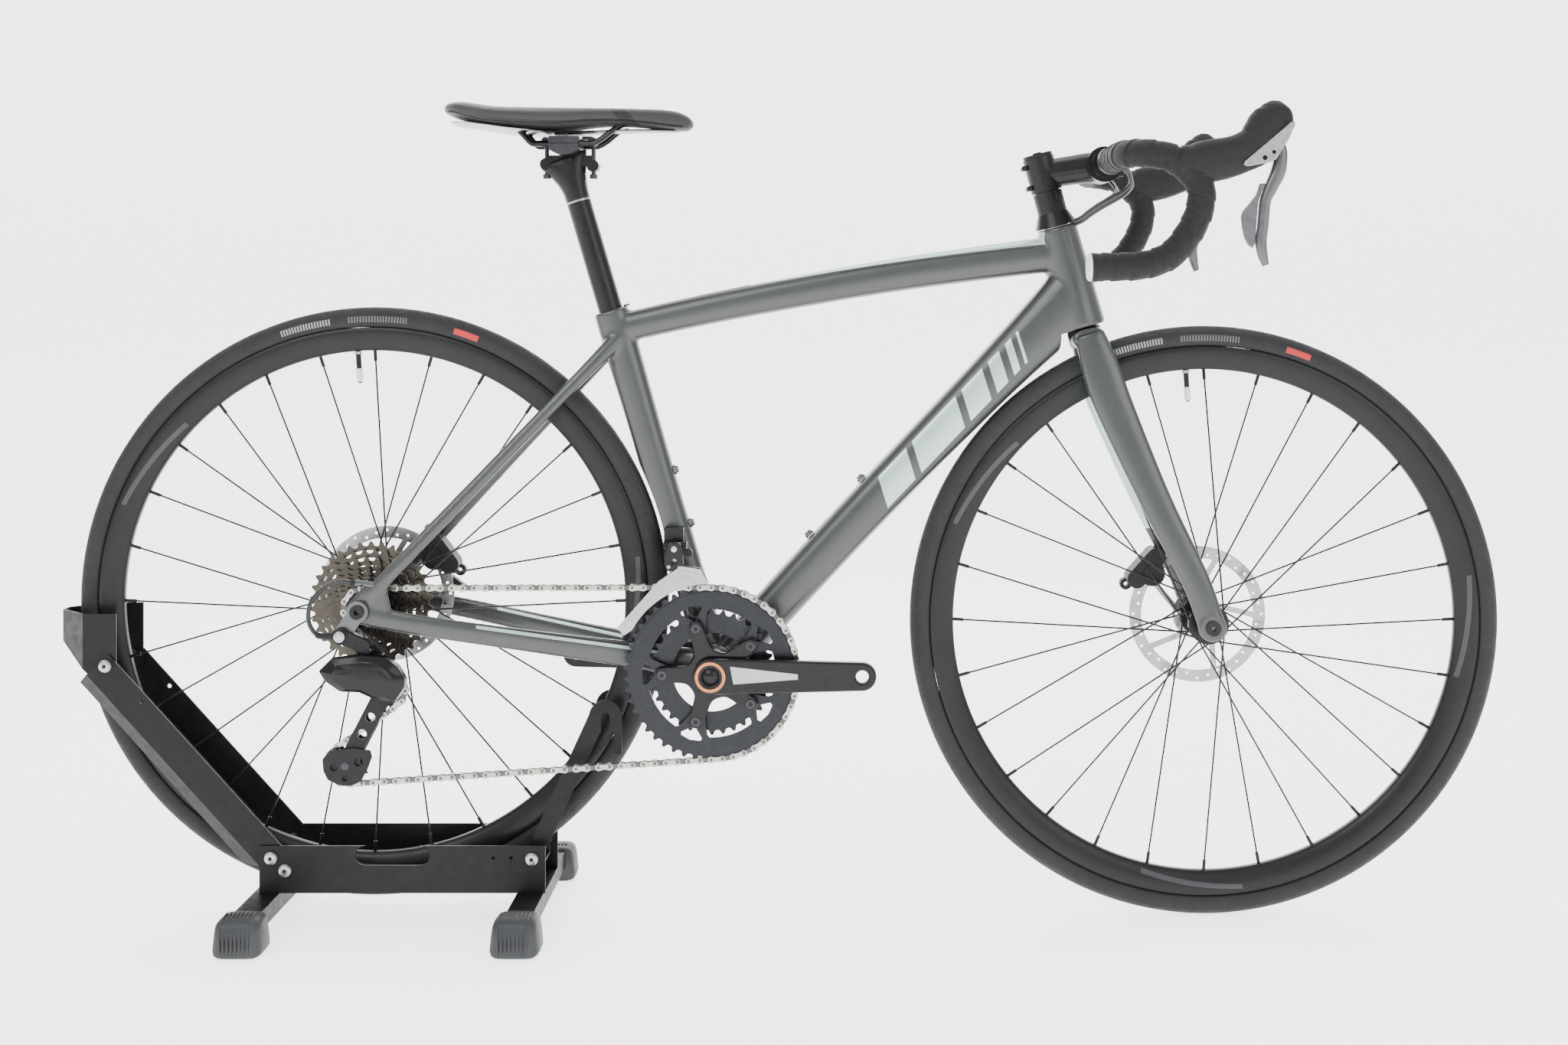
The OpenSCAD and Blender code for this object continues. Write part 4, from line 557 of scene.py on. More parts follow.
def skin(rings):
    """Faces between rings of points, and a cap at each end."""
    n, count, faces = len(rings[0]), len(rings), []
    for i in range(count - 1):
        for k in range(n):
            k2 = (k + 1) % n
            faces.append((i * n + k, (i + 1) * n + k, (i + 1) * n + k2, i * n + k2))
    faces += [tuple(range(n))[::-1], tuple(range((count - 1) * n, count * n))]
    return [p for ring in rings for p in ring], faces


def loft(name, stations, material=None, **options):
    return mesh_object(name, *skin(loft_rows(stations, **options)), material)


def join(name, objs, material=None):
    first = objs[0]
    with bpy.context.temp_override(active_object=first, selected_editable_objects=objs, object=first,
                                   selected_objects=objs):
        bpy.ops.object.join()
    first.name = name
    if material:
        first.data.materials.clear()
        first.data.materials.append(material)
        first.data.polygons.foreach_set("material_index", [0] * len(first.data.polygons))
    return first


def revolve(name, profile, centre, material, n=256):
    """profile: (radius, y) pairs, a closed loop; turned about the Y axis through centre."""
    verts, faces = [], []
    k = len(profile)
    for i in range(n):
        a, j = 2 * pi * i / n, (i + 1) % n
        verts += [centre + Vector((r * cos(a), y, r * sin(a))) for r, y in profile]
        faces += [(i * k + p, j * k + p, j * k + (p + 1) % k, i * k + (p + 1) % k) for p in range(k)]
    return mesh_object(name, verts, faces, material)


def extrude(name, outline, y0, y1, material, holes=(), bevel=0.0005):
    """A flat outline in x and z, between y0 and y1, with holes, and eased edges."""
    curve = bpy.data.curves.new(name, "CURVE")
    curve.dimensions = "2D"
    curve.fill_mode = "BOTH"
    for loop in [outline, *holes]:
        s = curve.splines.new("POLY")
        s.points.add(len(loop) - 1)
        for pt, (u, v) in zip(s.points, loop):
            pt.co = (u, v, 0, 1)
        s.use_cyclic_u = True
    half = abs(y1 - y0) / 2
    curve.extrude = max(half - bevel, 0.00005)
    curve.bevel_depth = bevel
    curve.bevel_resolution = 1
    curve.offset = -bevel
    temp = linked(name, curve)
    deps = bpy.context.evaluated_depsgraph_get()
    data = bpy.data.meshes.new_from_object(temp.evaluated_get(deps))
    bpy.data.objects.remove(temp)
    data.transform(Matrix(((1, 0, 0, 0), (0, 0, -1, (y0 + y1) / 2), (0, 1, 0, 0), (0, 0, 0, 1))))
    data.materials.clear()
    data.materials.append(material)
    obj = linked(name, data)
    cleaned(data, 0.00001)
    return obj


def circle(cx, cz, r, n=32, start=0.0):
    return [(cx + r * cos(start + 2 * pi * i / n), cz + r * sin(start + 2 * pi * i / n))
            for i in range(n)]


def tube(name, points, r, material=None, n=14, m=6, **options):
    return loft(name, [(p, r, r) for p in points], material, m=m, n=n, **options)


def piece(obj, body, slot, *nodes):
    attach(obj, body)
    if nodes:
        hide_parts(*nodes)
    return obj


def V(x, y, z):
    """A point in bicycle millimetres: x from the rear axle, z from the floor."""
    return Vector((x / 1000 + OX, y / 1000, z / 1000))


# ---- frame and fork
def melt(name, objs, material, voxel, rounds, factor=0.6):
    """Joins closed shells into one skin and rounds the corners between them."""
    obj = join(name, objs, material)
    modify(obj, "REMESH", mode="VOXEL", voxel_size=voxel, use_smooth_shade=True)
    apply_all(obj)
    modify(obj, "SMOOTH", factor=factor, iterations=rounds)
    apply_all(obj)
    obj.data.materials.clear()
    obj.data.materials.append(material)
    return obj


def frame_shells():
    out = []
    out.append(loft("seat_tube", [(seat(a), w, h) for a, w, h in (
        (-0.006, 0.020, 0.020), (0.06, 0.017, 0.019), (0.25, 0.0165, 0.0185), (0.377, 0.017, 0.020),
        (0.427, 0.018, 0.020))], q=0.85))
    a, b = TOP_TUBE
    out.append(loft("top_tube", [(a.lerp(b, t) + Vector((0, 0, 0.034 * t * (1 - t))), 0.016 + 0.003 * t,
                                  0.0175 + 0.0035 * t) for t in (0, 0.25, 0.6, 0.9, 1)], q=0.8))
    a, b = DOWN_TUBE
    out.append(loft("down_tube", [(a.lerp(b, t) + Vector((0, 0, 0.030 * t * (1 - t))), 0.025,
                                   0.024 + 0.004 * t + 0.010 * t ** 6) for t in (0, 0.2, 0.45, 0.75, 0.92, 1)],
                    q=0.75))
    out.append(loft("head_tube", [(steer(HEAD_S + 0.0002), 0.027, 0.027), (steer(HEAD_S + 0.03), 0.0262, 0.0262),
                                  (steer(HEAD_S + HEAD_LEN - 0.0005), 0.0233, 0.0233)]))
    low, high, top = CHAIN_STAY, REAR + Vector((0.009, 0, 0.014)), seat(0.393)
    for s in (-1, 1):
        def y(v):
            return Vector((0, s * v, 0))
        out.append(loft("chain_stay", [(low.lerp(BB, t) + y(v), w, h) for t, v, w, h in (
            (0, 0.0745, 0.0045, 0.012), (0.2, 0.0715, 0.005, 0.012), (0.5, 0.0495, 0.007, 0.013),
            (0.8, 0.026, 0.0075, 0.016), (1, 0.030, 0.010, 0.021))], q=0.85))
        out.append(loft("seat_stay", [(high.lerp(top, t) + y(v), w, h) for t, v, w, h in (
            (0, 0.0745, 0.0045, 0.009), (0.16, 0.0725, 0.005, 0.008), (0.5, 0.0505, 0.006, 0.0075),
            (0.86, 0.028, 0.0065, 0.008), (1, 0.012, 0.007, 0.010))], q=0.9))
        y0, y1 = (0.071, 0.078) if s > 0 else (-0.078, -0.071)
        drop = around(REAR, [(-13, -7), (-8, -12), (2, -15), (18, -16.5), (34, -17), (37, -8), (34, 12), (30, 30),
                             (18, 30), (6, 28), (-6, 15), (-13, 6), (-15, 0)])
        out.append(extrude("dropout", drop, y0, y1, M["frame"], bevel=0.0008))
    out.append(tube("bb_shell", [BB + Vector((0, -0.043, 0)), BB, BB + Vector((0, 0.043, 0))], 0.025, n=48,
                    ref=(1, 0, 0)))
    return out


def subtract(obj, cutters):
    for c in cutters:
        modify(obj, "BOOLEAN", operation="DIFFERENCE", solver="EXACT", object=c)
    apply_all(obj)
    for c in cutters:
        bpy.data.objects.remove(c)
    return obj


def disc(centre, r, y0, y1, n=128):
    rings = [[Vector((u, y, v)) for u, v in circle(centre.x, centre.z, r, n)] for y in (y0, y1)]
    return mesh_object("cutter", *skin(rings), M["frame"], False)


frame_skin = melt("frame_skin", frame_shells(), M["frame"], 0.0018, 10)
notch = tube("notch", [steer(HEAD_S - 0.060), steer(HEAD_S - 0.03), steer(HEAD_S - 0.0003)], 0.036, M["frame"], n=64)
frame_skin = subtract(frame_skin, [disc(REAR, TYRE_R + 0.005, -0.017, 0.017), notch])
piece(frame_skin, "frame", "frame_paint", "frame")


def fork_shells():
    out = [loft("crown", [(steer(HEAD_S - 0.012, 0.001, y), 0.020 - abs(y) / 12, 0.011) for y in
                          (-0.024, -0.018, 0, 0.018, 0.024)], ref=FWD, q=0.8)]
    out.append(tube("crown_race", [steer(HEAD_S - 0.020), steer(HEAD_S - 0.01), steer(HEAD_S - 0.0008)], 0.020, n=40))
    for s in (-1, 1):
        out.append(loft("blade", [(steer(a, f, s * y), w, h) for a, f, y, w, h in (
            (HEAD_S - 0.008, 0.003, 0.022, 0.009, 0.017), (HEAD_S - 0.050, 0.005, 0.027, 0.0095, 0.022),
            (HEAD_S - 0.095, 0.008, 0.032, 0.009, 0.022), (0.152, 0.025, 0.044, 0.008, 0.018),
            (0.056, 0.044, 0.0535, 0.007, 0.016), (-0.001, RAKE, 0.057, 0.0065, 0.0155))], q=0.85))
        a, b = sorted((s * 0.0502, s * 0.063))
        out.append(extrude("tip", circle(FRONT.x, FRONT.z, 0.016, 48), a, b, M["fork"], bevel=0.0012))
    return out


fork_skin = melt("fork_skin", fork_shells(), M["fork"], 0.0015, 8)
fork_skin = subtract(fork_skin, [disc(FRONT, TYRE_R + 0.004, -0.017, 0.017),
                                 disc(FRONT, 0.0195, -0.0500, 0.0500, 48)])
steerer = tube("steerer", [steer(HEAD_S - 0.004), steer(HEAD_S + 0.1), steer(STEM_S + 0.020)], 0.0143, M["black"],
               n=40)
fork_skin = join("fork_skin", [fork_skin, steerer])
piece(fork_skin, "fork", "frame_paint", "fork")


# ---- wheels
def tyre_profile():
    c, r, w = TYRE_R - 0.014, 0.014, 0.0096
    out = []
    for i in range(25):
        a = radians(-128 + 256 * i / 24)
        rr = r * (1 - 0.02 * cos(2 * a))
        out.append((c + min(rr, r) * cos(a), r * sin(a)))
    bead = TYRE_R - 0.0234
    out += [(bead + 0.0015, w), (bead + 0.0001, w - 0.0004), (bead + 0.0001, w - 0.003)]
    for i in range(13):
        a = radians(120 - 240 * i / 12)
        out.append((c - 0.001 + 0.0105 * cos(a), 0.0105 * sin(a) * 0.8))
    out += [(bead + 0.0001, -w + 0.003), (bead + 0.0001, -w + 0.0004), (bead + 0.0015, -w)]
    return out


def rim_profile():
    r, d = RIM_R, RIM_DEPTH
    outer = [(r - d, 0.0035), (r - d + 0.0012, 0.0052), (r - d + 0.006, 0.0082), (r - 0.012, 0.0106),
             (r - 0.006, 0.011), (r - 0.0006, 0.011), (r, 0.0104), (r, 0.0094), (r - 0.0055, 0.0089)]
    return [(a, -b) for a, b in outer] + [(a, b) for a, b in reversed(outer)]


for body, centre in (("front", FRONT), ("rear", REAR)):
    wheel = f"{body}_wheel"
    casing = revolve(f"{body}_tyre_casing", tyre_profile(), centre, M[f"{body}_tyre"], 288)
    piece(casing, wheel, "tyre_rubber", f"{body}_tyre")
    hoop = revolve(f"{body}_rim_hoop", rim_profile(), centre, M[f"{body}_rim"], 288)
    piece(hoop, wheel, "alloy_black", f"{body}_rim")
    # a nut and a cap on the valve
    a = radians(94)
    d = Vector((cos(a), 0, sin(a)))
    base = centre + d * (RIM_R - RIM_DEPTH)
    nut = tube(f"{body}_valve_nut", [base - 0.0006 * d, base - 0.002 * d, base - 0.0036 * d], 0.0046, M["bolt"], n=18)
    piece(nut, wheel, "bolt_steel")
    cap = tube(f"{body}_valve_cap", [base - 0.020 * d, base - 0.028 * d, base - 0.0355 * d], 0.0036, M["white"], n=16)
    piece(cap, wheel, "foot_plastic")


# ---- chain
PITCH = 0.0127
TEETH = 48


def pitch_radius(teeth):
    return PITCH / 2 / sin(pi / teeth)


def touch(a, ra, ta, b, rb, tb):
    d = b - a
    th = atan2(d.z, d.x) + asin((ta * ra - tb * rb) / d.length)
    return Vector((-sin(th), 0, cos(th)))


def chain_path():
    at = [Vector((p.x, 0, p.z)) for p in (BB, REAR, GUIDE, TENSION)]
    r = [pitch_radius(n) for n in (TEETH, 11, 11, 11)]
    turn = [1, 1, -1, 1]
    ends = []
    for i in range(4):
        j = (i + 1) % 4
        n = touch(at[i], r[i], turn[i], at[j], r[j], turn[j])
        ends.append((at[i] - turn[i] * r[i] * n, at[j] - turn[j] * r[j] * n))
    pts = []
    for i in range(4):
        a, b = ends[i]
        steps = max(2, int((b - a).length / 0.0008))
        pts += [a.lerp(b, k / steps) for k in range(steps)]
        j = (i + 1) % 4
        c = at[j]
        s0 = atan2(b.z - c.z, b.x - c.x)
        e = ends[j][0]
        s1 = atan2(e.z - c.z, e.x - c.x)
        sweep = (s1 - s0) % (2 * pi) if turn[j] > 0 else -((s0 - s1) % (2 * pi))
        steps = max(2, int(abs(sweep) * r[j] / 0.0008))
        pts += [c + r[j] * Vector((cos(s0 + sweep * k / steps), 0, sin(s0 + sweep * k / steps)))
                for k in range(steps)]
    return pts


def resample(pts, count):
    run = [0.0]
    for a, b in zip(pts, pts[1:] + pts[:1]):
        run.append(run[-1] + (b - a).length)
    total, out, i = run[-1], [], 0
    for k in range(count):
        s = total * k / count
        while run[i + 1] < s:
            i += 1
        t = (s - run[i]) / (run[i + 1] - run[i])
        out.append(pts[i].lerp(pts[(i + 1) % len(pts)], t))
    return out, total


def link_outline(p, r=0.0037, waist=0.0026, n=9):
    """A figure of eight about two pins, p apart."""
    out = []
    for cx, s in ((p, -1), (0, 1)):
        for i in range(n):
            a = radians(-115 + 230 * i / (n - 1))
            if s > 0:
                a += pi
            out.append((cx + r * cos(a), r * sin(a)))
        out.append((p / 2, waist if s < 0 else -waist))
    return out


path = chain_path()
whole = resample(path, 10)[1]
count = round(whole / PITCH / 2) * 2
pins, whole = resample(path, count)
verts, faces, kinds = [], [], []


def add(vs, fs, kind):
    base = len(verts)
    verts.extend(vs)
    faces.extend(tuple(base + i for i in f) for f in fs)
    kinds.extend([kind] * len(fs))


def prism(outline, y0, y1, place, kind):
    n = len(outline)
    inset = 0.00022 if y1 > y0 else -0.00022
    cx = sum(p[0] for p in outline) / n
    rows = []
    for y, k in ((y0, 0.93), (y0 + inset, 1.0), (y1 - inset, 1.0), (y1, 0.93)):
        rows.append([place((cx + (u - cx) * (k if k == 1 else 0.985), v * k), y) for u, v in outline])
    vs, fs = skin(rows)
    add(vs, fs, kind)


for i in range(count):
    a, b = pins[i], pins[(i + 1) % count]
    d = (b - a).normalized()
    nrm = Vector((-d.z, 0, d.x))

    def place(uv, y, a=a, d=d, nrm=nrm):
        p = a + uv[0] * d + uv[1] * nrm
        return Vector((p.x, CHAIN_Y + y, p.z))
    length = (b - a).length
    outer = i % 2 == 0
    y0, y1 = (0.0021, 0.0029) if outer else (0.00125, 0.00205)
    for s in (-1, 1):
        prism(link_outline(length, 0.0040 if outer else 0.0038), s * y0, s * y1, place, 0 if outer else 1)
    prism(circle(0, 0, 0.0038, 14), -0.0012, 0.0012, place, 1)
    prism(circle(0, 0, 0.0018, 12), -0.0032, 0.0032, place, 1)
chain = mesh_object("chain_links", verts, faces, M["chain"], False)
# second material for inner plates, rollers and pins: darker for their own steel and for painted shade between the
# outer plates
chain.data.materials.append(M["roller"])
chain.data.polygons.foreach_set("material_index", kinds)
chain.data.polygons.foreach_set("use_smooth", [True] * len(kinds))
chain.data.set_sharp_from_angle(angle=radians(40))
piece(chain, "frame", "chain_steel", "chain")


# ---- cockpit
def mm(*v):
    return Vector(v) / 1000


# all in millimetres: the bar from its middle, its y as a share of BAR_HALF; the rest from the lever's pin, with half
# widths and half heights; the hoses from the bar's middle
BAR_HALF = 200
TAPE_PITCH = 0.019
BAR_PATH = [(0, 0.4, 0), (0, 0.72, 0), (4, 0.88, 0), (22, 0.985, -1), (48, 1, -7), (72, 1, -27), (78, 1, -48),
            (70, 1, -76), (48, 1, -106), (16, 1, -119), (-38, 1, -121)]
HOOD = [(-97, -6, 15.6, 15.6), (-84, -9, 15.2, 19.5), (-70, -8, 15.5, 22), (-56, -6, 16, 22.5), (-42, -3, 16.5, 21.5),
        (-28, 2, 17, 21), (-15, 9, 17.5, 22), (-6, 20, 17.5, 23.5), (1, 32, 16.5, 23.5), (4.5, 43, 14.5, 20),
        (5.5, 51, 10.5, 13), (6, 56, 4, 5)]
BLADE = [(8, 14, 6, 5), (11, 5, 7.2, 6.5), (11, -6, 7.5, 7.2), (8, -20, 7.3, 8), (1, -35, 7, 7.2), (-5, -50, 6.6, 6),
         (-7.5, -75, 6.2, 6), (-9.5, -92, 6, 6), (-8, -105, 5.2, 5.4), (-4.5, -117, 3.6, 3.6)]
BRACKET = [(-30, -9), (-31.5, -12.5), (-27, -14), (-2, -9.5), (3, -6), (22.5, 28), (22, 33), (17.5, 31.5)]
PADDLE = [(-5.5, -31), (-11, -31), (-15, -43), (-22, -52), (-28.9, -60), (-30.6, -66), (-29.5, -78), (-27, -89),
          (-23, -96), (-18.7, -99), (-16.2, -95), (-14.6, -75), (-13.4, -60), (-12.4, -50), (-9.2, -40)]
HOSE = [(8.5, 87, -4.5), (17, 80, -9.5), (22, 71, -17), (24, 60, -24), (20, 46, -31), (10, 32, -38), (-4, 21, -46),
        (-16, 13, -54), (-25, 8, -61), (-37, 8, -66)]
SIDES = (("right", -1, "r"), ("left", 1, "l"))


def wrap(run, turn):
    """Overlapping turns of tape: each one rises slowly and steps down."""
    phase = (run / TAPE_PITCH + turn) % 1.0
    return 0.0013 * min(phase, (1 - phase) * 9) - (0.0005 if phase > 0.95 else 0.0)


def by_pin(rows, s):
    """Stations for a loft, from millimetres about a lever's pin."""
    return [(Vector((LEVER.x + u / 1000, s * BAR_HALF / 1000, LEVER.z + v / 1000)), w / 1000, h / 1000)
            for u, v, w, h in rows]


def dome(name, a, axis, r, rise, material, n=24):
    """A low round cap that stands on a, along axis."""
    ref = (0, 1, 0) if abs(axis.y) < 0.9 else (1, 0, 0)
    rows = [(0, 1), (0.5, 1), (0.8, 0.93), (0.95, 0.72), (1, 0.3)]
    return loft(name, [(a + axis * rise * t, r * k, r * k) for t, k in rows], material, m=2, n=n, ref=ref)


tapes, bands, plugs, hoods, plates = [], [], [], [], []
for name, s, tag in SIDES:
    route = [BAR + mm(x, s * BAR_HALF * y, z) for x, y, z in BAR_PATH]
    tapes.append(loft("tape", [(p, 0.0144, 0.0144) for p in route], M["tape"], m=44, n=32, ref=(0, 0, 1), wave=wrap))
    bands.append(tube("band", [BAR + mm(0, s * y, 0) for y in (77, 84, 91)], 0.0157, M["matte"], n=40, ref=(0, 0, 1)))
    plugs.append(dome("plug", route[-1], Vector((-1, 0, 0)), 0.0148, 0.005, M["white"], 32))
    hoods.append(loft("hood", by_pin(HOOD, s), M["hood"], m=8, n=40, q=0.82))
    y = sorted((s * 0.2142, s * 0.2184))
    holes = [circle(*around(LEVER, [(u, v)])[0], r / 1000, 20) for u, v, r in ((-9, -5, 2.6), (0.5, 1, 2.2))]
    plates.append(extrude("hood_plate", around(LEVER, BRACKET), *y, M["silver"], holes))
    blade = loft(f"brake_blade_{name}", by_pin(BLADE, s), M["lever"], m=6, n=24, q=0.8)
    piece(blade, f"lever_{tag}", "lever_resin", f"brake_lever_{name}")
    y = sorted((s * 0.1972, s * 0.2028))
    leaf = extrude(f"shift_leaf_{name}", around(LEVER, PADDLE), *y, M["paddle"], bevel=0.0012)
    piece(leaf, f"paddle_{tag}", "lever_resin", f"shift_paddle_{name}")
piece(join("bar_wrap", tapes), "fork", "tape_rubber", "bar_tape")
piece(join("bar_wrap_bands", bands), "fork", "tape_rubber")
piece(join("bar_end_plugs", plugs), "fork", "foot_plastic")
piece(join("brake_hoods", hoods), "fork", "hood_rubber", "lever_hoods")
piece(join("hood_brackets", plates), "fork", "alloy_silver")


def cord_piece(name, points, body, node):
    """A free hose or cable between two fixed ends."""
    rows = [Vector(p) for p in smooth([list(p) for p in points], 4)]
    obj = tube(name, points, 0.0025, M["hose"], n=16, m=4)
    piece(obj, body, "hose_rubber", node)


for name, s, tag in SIDES:
    for k in (0, 1):
        pts = [BAR + mm(x + 1.5 * k, s * (y + k * (-5.6 + y / 50)), z - 3.4 * k) for x, y, z in HOSE]
        cord_piece(f"hose_{name}_{k + 1}", pts, "fork", "brake_hoses")
CABLE = [(-3, -5, 32), (-18, -8, 34), (-36, -10, 28), (-50, -12.5, 12), (-53, -13.1, -6), (-49, -13.1, -18),
         (-42, -13.1, -25), (-34, -13.1, -25.9)]
cord_piece("gear_cable", [REAR + mm(x, y - 74.5, z) for x, y, z in CABLE], "frame", "shift_cable")
FERRULES = (((6, -3.5, 30.6), (-1, -4.6, 31.8), (-8, -5.8, 33)),
            ((-44, -13.1, -24.4), (-38, -13.1, -25.8), (-31, -13.1, -25.9)))
ends = [tube("ferrule", [REAR + mm(x, y - 74.5, z) for x, y, z in rows], 0.0034, M["matte"], n=20)
        for rows in FERRULES]
piece(join("cable_ferrules", ends), "frame", "alloy_black")


# ---- drivetrain
def toothed(teeth, centre, phase, root=-0.0031, tip=0.0022):
    r, out = pitch_radius(teeth), []
    for k in range(teeth):
        for f, d in ((0, root), (0.2, root + 0.0006), (0.38, tip - 0.0006), (0.46, tip), (0.54, tip),
                     (0.62, tip - 0.0006), (0.8, root + 0.0006)):
            a = phase + 2 * pi * (k + f) / teeth
            out.append((centre.x + (r + d) * cos(a), centre.z + (r + d) * sin(a)))
    return out


def phase_of(centre, teeth):
    """The angle of a chain pin that lies on a sprocket."""
    best = min(pins, key=lambda p: (abs(hypot(p.x - centre.x, p.z - centre.z) - pitch_radius(teeth)) > 0.0004,
                                    abs(p.z - centre.z)))
    return atan2(best.z - centre.z, best.x - centre.x)


def polar(centre, pairs):
    return [(centre.x + r / 1000 * cos(radians(a)), centre.z + r / 1000 * sin(radians(a)))
            for r, a in pairs]


COGS = [11, 12, 13, 14, 16, 18, 20, 23, 26, 30, 34]
cogs = []
for i, teeth in enumerate(COGS):
    y = CHAIN_Y + 0.00355 * i
    holes = [circle(REAR.x, REAR.z, 0.0168, 48)]
    r = pitch_radius(teeth) * 1000
    if teeth >= 20:
        for k in range(6):
            a = 60 * k + 4 * i
            holes.append(polar(REAR, [(21, a - 20), (21, a), (21, a + 20), (r - 9, a + 21), (r - 8, a + 11),
                                      (r - 7.6, a), (r - 8, a - 11), (r - 9, a - 21)]))
    outline = toothed(teeth, REAR, phase_of(REAR, 11) if i == 0 else 0.13 * i)
    cogs.append(extrude("cog", outline, y - 0.00085, y + 0.00085, M["cogs"], holes, bevel=0.0002))
cogs.append(tube("cog_body", [REAR + mm(0, y, 0) for y in (-56.5, -40, -16)], 0.0170, M["cogs"], n=48, ref=(1, 0, 0)))
lock = extrude("lock_ring", polar(REAR, [(19 if k % 2 else 18.2, 7.5 * k) for k in range(48)]), -0.0580, -0.0562,
               M["matte"], [circle(REAR.x, REAR.z, 0.0112, 40)])
piece(join("sprocket_stack", cogs), "cassette", "chain_steel", "cassette")
piece(lock, "cassette", "alloy_black")

RING_BOLTS = (36, 108, 180, 252, 324)


def nearest(a):
    return min(abs((a - b + 180) % 360 - 180) for b in RING_BOLTS)


def ease(t):
    t = max(0.0, min(1.0, t))
    return t * t * (3 - 2 * t)


inner = polar(BB, [(47 + 25.5 * ease((nearest(a) - 8.5) / 7), a) for a in range(0, 360, 2)])
wins = [polar(BB, [(62, b), (74, b + 9.5), (77.5, b + 8.5), (79, b), (77.5, b - 8.5), (74, b - 9.5)])
        for b in RING_BOLTS]
teeth = extrude("ring_teeth", toothed(TEETH, BB, phase_of(BB, TEETH)), CHAIN_Y - 0.00095, CHAIN_Y + 0.00095,
                M["ring"], [circle(BB.x, BB.z, 0.088, 120)], bevel=0.0002)
body = extrude("ring_body", circle(BB.x, BB.z, 0.0926, 160), CHAIN_Y - 0.0019, CHAIN_Y + 0.0017, M["ring"],
               [inner, *wins], bevel=0.0004)
piece(join("outer_chainring", [teeth, body]), "crank", "alloy_black", "big_chainring")
low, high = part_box("small_chainring")
y = (low[1] + high[1]) / 2
small = extrude("inner_chainring", toothed(34, BB, 0.0), y - 0.00095, y + 0.00095, M["ring"],
                [circle(BB.x, BB.z, 0.0445, 90)], bevel=0.0002)
piece(small, "crank", "alloy_black", "small_chainring")
arms = polar(BB, [(27 + 36 / (1 + (nearest(a) / 11.5) ** 4), a) for a in range(0, 360, 2)])
spider = extrude("spider", arms, -0.0649, -0.0562, M["gloss"], bevel=0.0018)


def arc(cx, r, start, sweep):
    turns = [radians(start + sweep * k / 24) for k in range(25)]
    return [(cx + r * cos(a), BB.z + r * sin(a)) for a in turns]


PEDAL_X = BB.x + 0.170
crank = extrude("crank_blade", arc(BB.x, 0.020, 88.5, 183) + arc(PEDAL_X, 0.0158, -88.5, 177), -0.0770, -0.0651,
                M["black"], [circle(BB.x, BB.z, 0.0095, 40), circle(PEDAL_X, BB.z, 0.00714, 32)], bevel=0.0022)
spindle = tube("spindle", [BB + mm(0, y, 0) for y in (-76, 0, 65)], 0.0118, M["black"], n=40, ref=(1, 0, 0))
piece(join("crank_right_arm", [crank, spindle, spider]), "crank", "alloy_black", "crank_right")
copper = extrude("copper_ring", circle(BB.x, BB.z, 0.0172, 64), -0.0784, -0.0768, M["copper"],
                 [circle(BB.x, BB.z, 0.0134, 48)])
piece(copper, "crank", "alloy_silver")
wedge = extrude("crank_wedge", around(BB, [(22, 12), (98, 3.4), (98, -2.4), (26, -8)]), -0.0776, -0.0766, M["hatch"],
                bevel=0.0002)
piece(wedge, "crank", "alloy_silver")
caps = []
for b in RING_BOLTS:
    at = polar(BB, [(55, b)])[0]
    caps.append(extrude("ring_bolt", circle(*at, 0.0052, 28), -0.0664, -0.0640, M["grey"], [circle(*at, 0.0026, 6)]))
piece(join("ring_bolt_caps", caps), "crank", "alloy_grey")


def shell(name, outline, layers, material, bevel=0.0012):
    """Copies of an outline about its middle: (y, scale) layers, closed and eased."""
    cx = sum(p[0] for p in outline) / len(outline)
    cz = sum(p[1] for p in outline) / len(outline)
    rings = [[V(cx + (u - cx) * k, y, cz + (v - cz) * k) for u, v in outline] for y, k in layers]
    obj = mesh_object(name, *skin(rings), material)
    return sharpen(obj, bevel, 25, 3)


COVER = [(-40, 299), (-26, 313), (8, 317), (36, 315), (50, 304), (58, 290), (57, 280), (46, 264), (26, 266), (6, 275),
         (-16, 276), (-33, 288)]
cover = shell("derailleur_cover", COVER, [(-86, 0.93), (-89, 1), (-99, 0.97), (-104, 0.72), (-105, 0.4)], M["gloss"])
rib = shell("cover_rib", [(-22, 297), (4, 303), (34, 300), (42, 291), (30, 284), (2, 289)],
            [(-103, 1), (-105.5, 0.9), (-106.3, 0.7)], M["matte"], 0.0006)
piece(join("derailleur_cover", [cover, rib]), "rd_outer", "alloy_black")
D_PLATE = [(-44, 193), (-36, 203), (-8, 206), (10, 203), (12, 196), (6, 180), (-1, 168), (-12, 163), (-26, 164),
           (-38, 170), (-43, 180)]
plate = extrude("cage_plate", [(OX + u / 1000, v / 1000) for u, v in D_PLATE], -0.0640, -0.0620, M["matte"],
                [circle(OX - 0.031, 0.184, 0.0042, 24), circle(OX - 0.0035, 0.190, 0.0046, 24),
                 circle(OX - 0.0185, 0.1715, 0.0030, 20)])
pivots = [dome("cage_bolt", Vector((p.x, -0.0618, p.z)), NEAR, 0.0052, 0.0034, M["grey"], 24)
          for p in (GUIDE, TENSION)]
piece(join("cage_plate", [plate, *pivots]), "rd_cage", "alloy_black")

